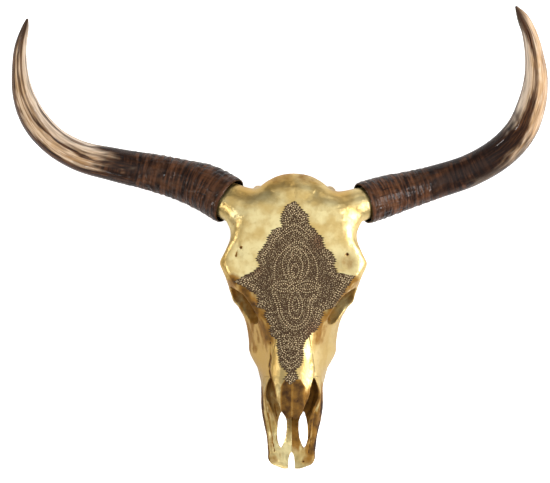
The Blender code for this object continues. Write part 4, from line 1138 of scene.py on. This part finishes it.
def edge(table, y):
    """The lozenge's edge at these places along the skull, with its scallops."""
    knots, values = np.array(table, float).T
    values = np.interp(y, knots, values)
    scallop = np.abs((y / SCALLOP_PITCH) % 1.0 - 0.5) * 2 - 0.5
    return values + np.sign(values) * 2.6 * scallop * smooth_step(10, 24, np.abs(values))


def lozenge_ground(skull):
    """The dark ground of the ornament: a thin sheet between its two jagged edges, laid on the
    bone along z by a shrinkwrap, and given a thickness."""
    rows = steps(137.2, 433.2, 0.7)
    columns = 110
    saw = np.abs((rows / TOOTH_PITCH) % 1.0 - 0.5) * 2
    reach = np.minimum(4.4, 0.35 * (edge(RIGHT_EDGE, rows) - edge(LEFT_EDGE, rows)))
    left = edge(LEFT_EDGE, rows) + reach * (saw - 0.6)
    right = edge(RIGHT_EDGE, rows) - reach * (saw - 0.6)
    x = left[:, None] + (right - left)[:, None] * np.linspace(0, 1, columns)
    y = np.broadcast_to(rows[:, None], x.shape)
    points = np.stack([x * MM, y * MM, np.full(x.shape, ABOVE)], axis=-1).reshape(-1, 3)
    sheet = mesh_object("ornament_ground", points, grid_faces(len(rows), columns, False))
    lay_on(sheet, skull, GROUND_RISE)
    wall = sheet.modifiers.new("thickness", "SOLIDIFY")
    wall.thickness = GROUND_THICKNESS
    wall.offset = -1.0
    return apply_modifiers(sheet)


def lay_on(obj, target, rise):
    """Drops each point of the object along z onto the target, and leaves it this much higher."""
    wrap = obj.modifiers.new("lay", "SHRINKWRAP")
    wrap.target = target
    wrap.wrap_method = "PROJECT"
    wrap.use_project_z = True
    wrap.use_positive_direction = False
    wrap.use_negative_direction = True
    apply_modifiers(obj)
    points = read(obj.data)
    points[:, 2] += rise
    write(obj.data, points)


def dots_along(line, pitch, smooth=False):
    """Points evenly spaced along a line, or along the smooth curve through its points."""
    line = np.array(line, float)
    knots = lengths_along(line)
    if smooth:
        line = on_path(line, np.linspace(0, knots[-1], 12 * len(line)))
        knots = lengths_along(line)
    places = np.linspace(0, knots[-1], max(2, round(knots[-1] / pitch) + 1))
    return np.stack([np.interp(places, knots, line[:, k]) for k in range(2)], axis=1)


def in_lozenge(dots, spare):
    """Which dots are inside the lozenge's edges by at least this much."""
    x, y = dots.T
    return ((x > edge(LEFT_EDGE, y) + spare) & (x < edge(RIGHT_EDGE, y) - spare)
            & (y > 139) & (y < 431))


def apart(dots, pitch):
    """The dots with no earlier dot closer than this, found on a grid of small cells."""
    kept, cells = [], {}
    for dot in dots:
        key = (int(dot[0] // pitch), int(dot[1] // pitch))
        near = [other for i in (-1, 0, 1) for j in (-1, 0, 1)
                for other in cells.get((key[0] + i, key[1] + j), ())]
        if all((dot[0] - o[0]) ** 2 + (dot[1] - o[1]) ** 2 > pitch**2 for o in near):
            kept.append(dot)
            cells.setdefault(key, []).append(dot)
    return np.array(kept)


def border(table, side):
    """Points evenly spaced on one edge of the lozenge, and the way inwards at each."""
    line = np.array(table, float)[:, ::-1]
    dots = dots_along(line, TOOTH_PITCH)
    along = unit(np.gradient(dots, axis=0))
    return dots, np.stack([-side * along[:, 1], side * along[:, 0]], axis=1)


def domes(name, skull, dots, heading, long, wide, tone, sides):
    """Low domes laid on the bone: rings of points about each dot, longer along its heading, each
    set square to the bone under it, with its colour's tone stored for the material."""
    feet = np.stack([dots, dots + heading, dots + heading @ ((0, 1), (-1, 0))])
    base = np.dstack([feet * MM, np.full(feet.shape[:2], ABOVE)])
    probe = mesh_object("probe", base.reshape(-1, 3), np.zeros((0, 4)))
    lay_on(probe, skull, GROUND_RISE)
    here, ahead, aside = read(probe.data).reshape(3, -1, 3)
    discard([probe])
    front = unit(ahead - here)
    out = unit(np.cross(front, aside - here))
    side = np.cross(out, front)
    a = circle(sides)
    length, width = (long * MM)[:, None, None], (wide * MM)[:, None, None]
    rings = [here[:, None] + front[:, None] * length * reach * np.cos(a)[:, None]
             + side[:, None] * width * reach * np.sin(a)[:, None] + out[:, None] * width * rise
             for reach, rise in DOME_RINGS]
    caps = [here[:, None] + out[:, None] * width * rise for rise in DOME_CAPS]
    block = np.concatenate(rings + caps, axis=1)
    size = block.shape[1]
    j = np.arange(sides)
    k = (j + 1) % sides
    fan = np.vstack([np.stack([2 * sides + j, 2 * sides + k, np.full(sides, 3 * sides)], 1),
                     np.stack([k, j, np.full(sides, 3 * sides + 1)], 1)])
    start = (np.arange(len(dots)) * size)[:, None, None]
    made = mesh_object(name, block.reshape(-1, 3), (grid_faces(3, sides)[None] + start).reshape(-1, 4),
                       (fan[None] + start).reshape(-1, 3))
    x, y = dots.T
    red = np.maximum.reduce([share * hill(x, y, *place) for share, *place in REDDISH])
    worn = (hill(x, y, 47, 248, 10, 12) + 0.9 * smooth_step(320, 380, y)
            + 0.8 * smooth_step(142, 137, y + 0.6 * np.abs(x)))
    paint(made.data, "tone", np.repeat(np.clip(tone + 0.35 * worn, 0, 1), size))
    paint(made.data, "red", np.repeat(red, size))
    return made


def ornament_dots(skull):
    """The carved dots: bright ones in rows along the drawing and two rows inside the border,
    short strokes square to the border, and dim small ones scattered between."""
    rng = np.random.default_rng(3)
    lines = [dots_along(line, BEAD_PITCH, True) for line in (*PETALS, *ROWS)]
    for petal in PETALS:
        middle = np.mean(petal, axis=0)
        lines.append(dots_along(middle + 0.5 * (np.array(petal) - middle), BEAD_PITCH, True))
    strokes, ways = [], []
    for table, side in ((LEFT_EDGE, -1), (RIGHT_EDGE, 1)):
        dots, inward = border(table, side)
        strokes.append(dots + STROKE_INSET * inward)
        ways.append(inward)
        lines += [dots + depth * inward + rng.normal(0, 0.3, dots.shape) for depth in BORDER_ROWS]
    rows = np.vstack(lines)
    rows = apart(rows[in_lozenge(rows, 2.5)], BEAD_GAP)
    strokes, ways = np.vstack(strokes), np.vstack(ways)
    inside = in_lozenge(strokes, 0.6)
    strokes, ways = strokes[inside], ways[inside]
    filler = np.stack([rng.uniform(-96, 98, 30000), rng.uniform(140, 430, 30000)], axis=1)
    busy = np.vstack([rows, strokes])
    filler = apart(np.vstack([busy, filler[in_lozenge(filler, 3.6)]]), GRAIN_GAP)
    filler = filler[len(apart(busy, GRAIN_GAP)):]
    beads = domes("ornament_beads", skull, rows, np.tile((1.0, 0.0), (len(rows), 1)),
                  rng.uniform(0.95, 1.25, len(rows)), rng.uniform(0.90, 1.1, len(rows)),
                  0.92 + rng.normal(0, 0.16, len(rows)), 8)
    turn = rng.uniform(0, np.pi, len(filler))
    small = np.vstack([strokes, filler])
    heading = np.vstack([ways, np.stack([np.cos(turn), np.sin(turn)], axis=1)])
    long = np.concatenate([rng.uniform(1.5, 2.3, len(strokes)), rng.uniform(0.6, 1.15, len(filler))])
    wide = np.concatenate([np.full(len(strokes), 0.58), rng.uniform(0.50, 0.80, len(filler))])
    tone = np.concatenate([0.40 + rng.normal(0, 0.2, len(strokes)),
                           0.50 + rng.normal(0, 0.30, len(filler))])
    return beads, domes("ornament_grains", skull, small, heading, long, wide, tone, 6)


def add_node(tree, kind, **settings):
    """A new node with these settings."""
    made = tree.nodes.new(kind)
    for name, value in settings.items():
        setattr(made, name, value)
    return made


def wire(tree, source, target):
    """Links two sockets, or sets the second to a plain value."""
    if isinstance(source, bpy.types.NodeSocket):
        tree.links.new(source, target)
    else:
        target.default_value = source


def maths(tree, operation, *values, clamp=False):
    """The output of a Math node on these values or sockets."""
    made = add_node(tree, "ShaderNodeMath", operation=operation, use_clamp=clamp)
    for value, socket in zip(values, made.inputs):
        wire(tree, value, socket)
    return made.outputs[0]


def times(tree, first, second):
    """Two values multiplied."""
    return maths(tree, "MULTIPLY", first, second)


def plus(tree, first, second):
    """Two values added."""
    return maths(tree, "ADD", first, second)


def mixed(tree, factor, first, second):
    """A Mix node's colour: the first where the factor is 0, the second where it is 1."""
    made = add_node(tree, "ShaderNodeMix", data_type="RGBA", blend_type="MIX", clamp_factor=True)
    wire(tree, factor, made.inputs[0])
    for colour, socket in ((first, made.inputs[6]), (second, made.inputs[7])):
        wire(tree, (*colour, 1) if isinstance(colour, tuple) else colour, socket)
    return made.outputs[2]


def coated(tree, colour, *coats):
    """A colour with coats over it, each given as how much covers and its own colour."""
    for factor, own in coats:
        colour = mixed(tree, factor, colour, own)
    return colour


def attribute(tree, name):
    """The value of a painted attribute."""
    return add_node(tree, "ShaderNodeAttribute", attribute_name=name).outputs["Fac"]


def group(name, inputs, outputs):
    """An empty node group with these named inputs and outputs, and its two end nodes."""
    tree = bpy.data.node_groups.new(name, "ShaderNodeTree")
    for word, kind, value in inputs:
        socket = tree.interface.new_socket(name=word, in_out="INPUT", socket_type=kind)
        if value is not None:
            socket.default_value = value
    for word, kind in outputs:
        tree.interface.new_socket(name=word, in_out="OUTPUT", socket_type=kind)
    return tree, add_node(tree, "NodeGroupInput"), add_node(tree, "NodeGroupOutput")


def speckle_group():
    """Fine grain: two sizes of noise added, as a mask from 0 to 1."""
    tree, start, end = group("speckle", (("Vector", "NodeSocketVector", None),
                                         ("Scale", "NodeSocketFloat", 300.0),
                                         ("Contrast", "NodeSocketFloat", 1.0)),
                             (("Mask", "NodeSocketFloat"),))
    coarse = add_node(tree, "ShaderNodeTexNoise")
    fine = add_node(tree, "ShaderNodeTexNoise")
    for made, share in ((coarse, 1.0), (fine, 3.7)):
        wire(tree, start.outputs["Vector"], made.inputs["Vector"])
        wire(tree, times(tree, start.outputs["Scale"], share), made.inputs["Scale"])
        made.inputs["Detail"].default_value = 2.0
    total = plus(tree, times(tree, coarse.outputs[0], 0.6), times(tree, fine.outputs[0], 0.4))
    centred = times(tree, maths(tree, "SUBTRACT", total, 0.5), start.outputs["Contrast"])
    wire(tree, maths(tree, "ADD", centred, 0.5, clamp=True), end.inputs["Mask"])
    return tree


def settled_group():
    """Brown that gathers where a mask is high, with a broken edge: stains on the teeth, stains and
    painted shade on the bone.
    """
    tree, start, end = group("settled", (("Vector", "NodeSocketVector", None),
                                         ("Where", "NodeSocketFloat", 0.0),
                                         ("Scale", "NodeSocketFloat", 60.0),
                                         ("Break", "NodeSocketFloat", 0.4)),
                             (("Mask", "NodeSocketFloat"),))
    made = add_node(tree, "ShaderNodeTexNoise")
    wire(tree, start.outputs["Vector"], made.inputs["Vector"])
    wire(tree, start.outputs["Scale"], made.inputs["Scale"])
    made.inputs["Detail"].default_value = 4.0
    shift = times(tree, maths(tree, "SUBTRACT", made.outputs[0], 0.5), start.outputs["Break"])
    wire(tree, maths(tree, "ADD", start.outputs["Where"], times(tree, shift, 2.0), clamp=True),
         end.inputs["Mask"])
    return tree


def drawn_noise(tree, vector, stretch, scale, detail):
    """Noise on a vector that is scaled by its own amount along each axis."""
    drawn = add_node(tree, "ShaderNodeMapping")
    drawn.inputs["Scale"].default_value = stretch
    wire(tree, vector, drawn.inputs["Vector"])
    made = add_node(tree, "ShaderNodeTexNoise")
    wire(tree, drawn.outputs[0], made.inputs["Vector"])
    made.inputs["Scale"].default_value = scale
    made.inputs["Detail"].default_value = detail
    return made.outputs[0]


def contrast(tree, value, low, high):
    """0 below low and 1 above high, with a soft rise between."""
    made = add_node(tree, "ShaderNodeMapRange", interpolation_type="SMOOTHSTEP")
    made.inputs["From Min"].default_value = low
    made.inputs["From Max"].default_value = high
    wire(tree, value, made.inputs["Value"])
    return made.outputs[0]


def placed_group(tree, source, **values):
    """A node of this group in a material, with these inputs."""
    made = add_node(tree, "ShaderNodeGroup", node_tree=source)
    for name, value in values.items():
        wire(tree, value, made.inputs[name])
    return made.outputs[0]


def new_material(name):
    """A material, its node tree, its Principled shader and the object coordinates."""
    made = bpy.data.materials.new(name)
    made.use_nodes = True
    tree = made.node_tree
    place = add_node(tree, "ShaderNodeTexCoord").outputs["Object"]
    return made, tree, tree.nodes["Principled BSDF"], place


def bump(tree, height, strength, distance, shader):
    """Feeds a height into the shader's normals."""
    made = add_node(tree, "ShaderNodeBump")
    made.inputs["Strength"].default_value = strength
    made.inputs["Distance"].default_value = distance
    wire(tree, height, made.inputs["Height"])
    wire(tree, made.outputs[0], shader.inputs["Normal"])


def finish(tree, shader, colour, rough, plain):
    """Wires colour and roughness into the shader, and sets plain numbers on its own sockets."""
    wire(tree, colour, shader.inputs["Base Color"])
    wire(tree, rough, shader.inputs["Roughness"])
    for word, value in plain.items():
        shader.inputs[word].default_value = value


def gold_lacquer(speckle, settled):
    """Gold paint with a clear gloss: warm and cool clouds, brown stains with painted shade in the
    hollows and on the sides, a fine grain.
    """
    made, tree, shader, place = new_material("gold_lacquer")
    clouds = drawn_noise(tree, place, (1, 1, 1), 34.0, 4.0)
    mottle = drawn_noise(tree, place, (1, 1, 1), 120.0, 4.0)
    stain_and_shade = attribute(tree, "stain_and_shade")
    # brown stains and painted shade, broken at their edges by noise
    brown = times(tree, placed_group(tree, settled, Vector=place, Where=stain_and_shade, Scale=90.0, Break=0.34),
                  contrast(tree, stain_and_shade, 0.04, 0.25))
    colour = coated(tree, (0.64, 0.46, 0.17),
                    (contrast(tree, clouds, 0.34, 0.66), (0.86, 0.73, 0.37)),
                    (times(tree, contrast(tree, mottle, 0.48, 0.72), 0.35), (0.50, 0.34, 0.11)),
                    # painted shade: the gold dulled on the left of the face and warmed on slopes, at the
                    # back and on the saddles
                    (times(tree, attribute(tree, "dull_shade"), 0.88), (0.37, 0.28, 0.12)),
                    (times(tree, attribute(tree, "warm_shade"), 0.85), (0.66, 0.40, 0.105)),
                    (contrast(tree, brown, 0.0, 0.60), (0.30, 0.145, 0.026)),
                    (contrast(tree, brown, 0.5, 1.0), (0.035, 0.014, 0.006)))
    grain = placed_group(tree, speckle, Vector=place, Scale=330.0, Contrast=1.5)
    wire(tree, maths(tree, "SUBTRACT", 0.95, times(tree, brown, 1.15), clamp=True),
         shader.inputs["Metallic"])
    rough = plus(tree, plus(tree, times(tree, grain, 0.12), times(tree, brown, 0.38)), 0.27)
    finish(tree, shader, colour, rough, {
        "Specular IOR Level": 0.08, "Coat Weight": 0.05, "Coat Roughness": 0.12})
    bump(tree, plus(tree, times(tree, grain, 0.25), mottle), 0.60, 0.0014, shader)
    return made


def horn_polish(speckle):
    """Polished horn: red-brown and near black at the base, cream with dark streaks towards the tip."""
    made, tree, shader, place = new_material("horn_polish")
    straight = add_node(tree, "ShaderNodeAttribute", attribute_name="straight").outputs["Vector"]
    long = drawn_noise(tree, straight, (1.0, 1.0, 0.09), 340.0, 6.0)
    rings = drawn_noise(tree, straight, (0.10, 0.10, 0.85), 230.0, 7.0)
    patches = drawn_noise(tree, straight, (1.0, 1.0, 0.8), 45.0, 7.0)
    turned = attribute(tree, "pale")
    base = coated(tree, (0.011, 0.004, 0.0022),
                  (contrast(tree, rings, 0.38, 0.66), (0.150, 0.058, 0.025)),
                  (times(tree, contrast(tree, patches, 0.46, 0.72), 0.55), (0.18, 0.075, 0.032)),
                  (times(tree, contrast(tree, patches, 0.48, 0.34), 0.7), (0.010, 0.004, 0.003)),
                  (contrast(tree, long, 0.60, 0.74), (0.012, 0.005, 0.003)))
    pale = coated(tree, (0.36, 0.20, 0.095),
                  (contrast(tree, long, 0.32, 0.66), (0.74, 0.55, 0.37)),
                  (times(tree, contrast(tree, patches, 0.47, 0.62), 0.6), (0.50, 0.30, 0.14)),
                  (attribute(tree, "inside"), (0.80, 0.66, 0.52)))
    brown = mixed(tree, contrast(tree, long, 0.4, 0.7), (0.022, 0.008, 0.004), (0.13, 0.05, 0.018))
    colour = coated(tree, base, (turned, pale), (attribute(tree, "streak_and_shade"), brown),
                    (times(tree, attribute(tree, "soot"), 0.85), (0.010, 0.005, 0.004)),
                    (times(tree, attribute(tree, "tip"), 0.85), (0.046, 0.022, 0.012)),
                    # painted shade: the sheath's inner wall near black
                    (attribute(tree, "mouth_shade"), (0.008, 0.005, 0.004)))
    grain = placed_group(tree, speckle, Vector=place, Scale=320.0, Contrast=1.4)
    finish(tree, shader, colour, plus(tree, 0.14, times(tree, grain, 0.16)), {
        "Specular IOR Level": 0.08, "Coat Weight": 0.22, "Coat Roughness": 0.06})
    height = plus(tree, times(tree, grain, 0.5),
                  times(tree, rings, maths(tree, "SUBTRACT", 1.2, turned)))
    bump(tree, plus(tree, height, times(tree, long, 0.6)), 0.7, 0.0014, shader)
    return made


def carved_ground(speckle):
    """The dark ground between the carved dots."""
    made, tree, shader, place = new_material("carved_ground")
    grain = placed_group(tree, speckle, Vector=place, Scale=520.0, Contrast=2.2)
    colour = mixed(tree, grain, (0.012, 0.006, 0.003), (0.125, 0.074, 0.036))
    finish(tree, shader, colour, plus(tree, 0.45, times(tree, grain, 0.3)),
           {"Specular IOR Level": 0.15})
    bump(tree, grain, 0.5, 0.0006, shader)
    return made


def carved_dots(speckle):
    """The carved dots: bone colour, rubbed pale on top or browned, some of them reddish."""
    made, tree, shader, place = new_material("carved_dots")
    grain = placed_group(tree, speckle, Vector=place, Scale=700.0, Contrast=1.6)
    colour = coated(tree, (0.105, 0.056, 0.024), (attribute(tree, "tone"), (1.0, 0.78, 0.45)),
                    (times(tree, attribute(tree, "red"), 0.9), (0.30, 0.11, 0.04)),
                    (times(tree, grain, 0.35), (0.06, 0.038, 0.024)))
    finish(tree, shader, colour, plus(tree, 0.34, times(tree, grain, 0.25)),
           {"Specular IOR Level": 0.3})
    bump(tree, grain, 0.3, 0.0003, shader)
    return made


def gilded_tooth(speckle, settled):
    """Gold paint over enamel, lighter and darker in clouds and browned in broken patches."""
    made, tree, shader, place = new_material("gilded_tooth")
    cloud = drawn_noise(tree, place, (1, 1, 1), 160.0, 2.0)
    brown = placed_group(tree, settled, Vector=place, Where=0.25, Scale=240.0, Break=0.6)
    colour = coated(tree, (0.30, 0.17, 0.06), (cloud, (0.66, 0.50, 0.24)),
                    (brown, (0.10, 0.045, 0.015)))
    wire(tree, maths(tree, "SUBTRACT", 0.8, times(tree, brown, 0.6)), shader.inputs["Metallic"])
    grain = placed_group(tree, speckle, Vector=place, Scale=400.0, Contrast=1.2)
    finish(tree, shader, colour, plus(tree, 0.28, times(tree, grain, 0.2)), {})
    bump(tree, grain, 0.3, 0.0004, shader)
    return made


def studio_floor(speckle):
    """A pale matt floor with a trace of grain, whose glow no reflection shows."""
    made, tree, shader, place = new_material("studio_floor")
    grain = placed_group(tree, speckle, Vector=place, Scale=40.0, Contrast=1.0)
    colour = mixed(tree, grain, (0.93, 0.93, 0.93), (0.96, 0.96, 0.96))
    reflected = add_node(tree, "ShaderNodeLightPath").outputs["Is Glossy Ray"]
    wire(tree, times(tree, maths(tree, "SUBTRACT", 1.0, reflected), FLOOR_GLOW),
         shader.inputs["Emission Strength"])
    finish(tree, shader, colour, 0.9, {"Specular IOR Level": 0.1, "Emission Color": (1, 1, 1, 1)})
    return made


def dress(obj, material):
    """Gives the whole object this one material."""
    obj.data.materials.clear()
    obj.data.materials.append(material)


def photograph_camera():
    """Looks straight down on the skull with a long lens, framed as the photograph is."""
    across = np.array((math.cos(LEAN), math.sin(LEAN), 0.0))
    upward = np.array((-math.sin(LEAN), math.cos(LEAN), 0.0))
    centre = (ORIGIN + across * (PICTURE[0] / 2 - MIDLINE_PIXEL) * PIXEL
              + upward * (MUZZLE_PIXEL - PICTURE[1] / 2) * PIXEL)
    data = bpy.data.cameras.new("camera")
    data.lens, data.sensor_width = LENS, SENSOR
    data.clip_end = 200.0
    camera = add_object("camera", data)
    distance = PICTURE[0] * PIXEL * LENS / SENSOR
    camera.location = centre + np.array((0, 0, distance))
    camera.rotation_euler = (0.0, 0.0, LEAN)
    bpy.context.scene.camera = camera


# The studio. Each soft box: its name, place, size and power in watts
SOFT_BOXES = (
    ("box_right", (1.72, 0.12, 1.22), (0.7, 1.3), 27.0),
    ("strip_right", (1.70, -0.60, 1.15), (0.6, 0.07), 8.0),
    ("strip_left_front", (-1.60, -0.72, 1.28), (0.45, 0.09), 6.5),
    ("strip_left_back", (-1.66, 0.72, 1.12), (0.45, 0.09), 6.5),
    ("strip_front", (-0.35, -1.96, 0.95), (0.6, 0.10), 5.0),
    ("box_head", (0.45, 1.7, 0.80), (0.8, 0.3), 2.0))
FLOOR_GLOW = 0.72
FLOOR_REACH = 60


def soft_box(name, place, size, power):
    """A rectangular light that faces the middle of the skull."""
    data = bpy.data.lights.new(name, "AREA")
    data.shape, data.size, data.size_y = "RECTANGLE", *size
    data.energy = power
    light = add_object(name, data)
    light.location = place
    light.rotation_euler = (-Vector(place)).to_track_quat("-Z", "Y").to_euler()


def studio():
    """The sky and the soft boxes. The sky is bright overhead, and less so behind and to the left."""
    scene = bpy.context.scene
    scene.view_settings.view_transform = "Standard"
    scene.world = bpy.data.worlds.new("studio")
    scene.world.use_nodes = True
    tree = scene.world.node_tree
    way = add_node(tree, "ShaderNodeSeparateXYZ")
    wire(tree, add_node(tree, "ShaderNodeTexCoord").outputs["Generated"], way.inputs[0])
    overhead = times(tree, contrast(tree, way.outputs["Z"], 0.70, 0.96), 0.76)
    behind = times(tree, contrast(tree, way.outputs["Y"], 0.50, 0.95), 0.17)
    beside = times(tree, contrast(tree, times(tree, way.outputs["X"], -1.0), 0.15, 0.80), 0.12)
    level = maths(tree, "SUBTRACT", plus(tree, 0.34, overhead), plus(tree, behind, beside))
    back = tree.nodes["Background"]
    back.inputs["Color"].default_value = (1.0, 1.0, 1.0, 1)
    wire(tree, maths(tree, "MAXIMUM", level, 0.12), back.inputs["Strength"])
    for light in SOFT_BOXES:
        soft_box(*light)


def main():
    """Makes every piece, sets each on its body, and dresses the studio."""
    photograph_camera()
    speckle, settled = speckle_group(), settled_group()
    gold = gold_lacquer(speckle, settled)
    horn = horn_polish(speckle)
    skull = carve(whole_skull())
    surface = add_object("surface", skull.data.copy())
    nasals = part_pair(skull, "nasal", seam_outline, "Z", NASAL_CUT_DEPTH, ABOVE)
    muzzle = part_pair(skull, "premaxilla", muzzle_outline, "X", -0.2, 0.2)
    boolean(skull, "UNION", joined("cores", [core(LEFT_HORN, -1), core(RIGHT_HORN, 1)]))
    boolean(skull, "DIFFERENCE", prism("ground", ((-1, -1), (1, -1), (1, 1), (-1, 1)), "Z",
                                       FLOOR_LEVEL - 0.1, FLOOR_LEVEL + FLOOR_SPARE))
    thinned(skull, BONE_FACES)
    bones = [skull, *nasals, *muzzle]
    for bone in bones:
        stain_and_shade_bone(bone)
        dress(bone, gold)
    teeth = [tooth_row(-1, "left"), tooth_row(1, "right")]
    enamel = gilded_tooth(speckle, settled)
    for row in teeth:
        dress(row, enamel)
    horns = [horn_sheath("horn_sheath_left", LEFT_HORN, -1, LEFT_MARKS),
             horn_sheath("horn_sheath_right", RIGHT_HORN, 1, RIGHT_MARKS)]
    for sheath in horns:
        dress(sheath, horn)
    ground, (beads, grains) = lozenge_ground(surface), ornament_dots(surface)
    discard([surface])
    dress(ground, carved_ground(speckle))
    dots = carved_dots(speckle)
    dress(beads, dots)
    dress(grains, dots)
    stands_for = {
        skull.name: ["cranium"], "cheek_teeth_left": ["cranium"], "cheek_teeth_right": ["cranium"],
        "nasal_left_bone": ["nasal_left"], "nasal_right_bone": ["nasal_right"],
        "premaxilla_left_bone": ["premaxilla_left"], "premaxilla_right_bone": ["premaxilla_right"],
        "horn_sheath_left": ["horn_left"], "horn_sheath_right": ["horn_right"],
    }
    for piece in [*bones, *teeth, *horns, ground, beads, grains]:
        piece.data.transform(Matrix.Translation(ORIGIN))
        piece.data.shade_smooth()
        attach(piece, "root")
        if piece.name in stands_for:
            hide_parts(*stands_for[piece.name])
    corners = np.array(((-1, -1, 0), (1, -1, 0), (1, 1, 0), (-1, 1, 0))) * FLOOR_REACH
    floor = mesh_object("floor", corners, ((0, 1, 2, 3),))
    dress(floor, studio_floor(speckle))
    studio()


main()
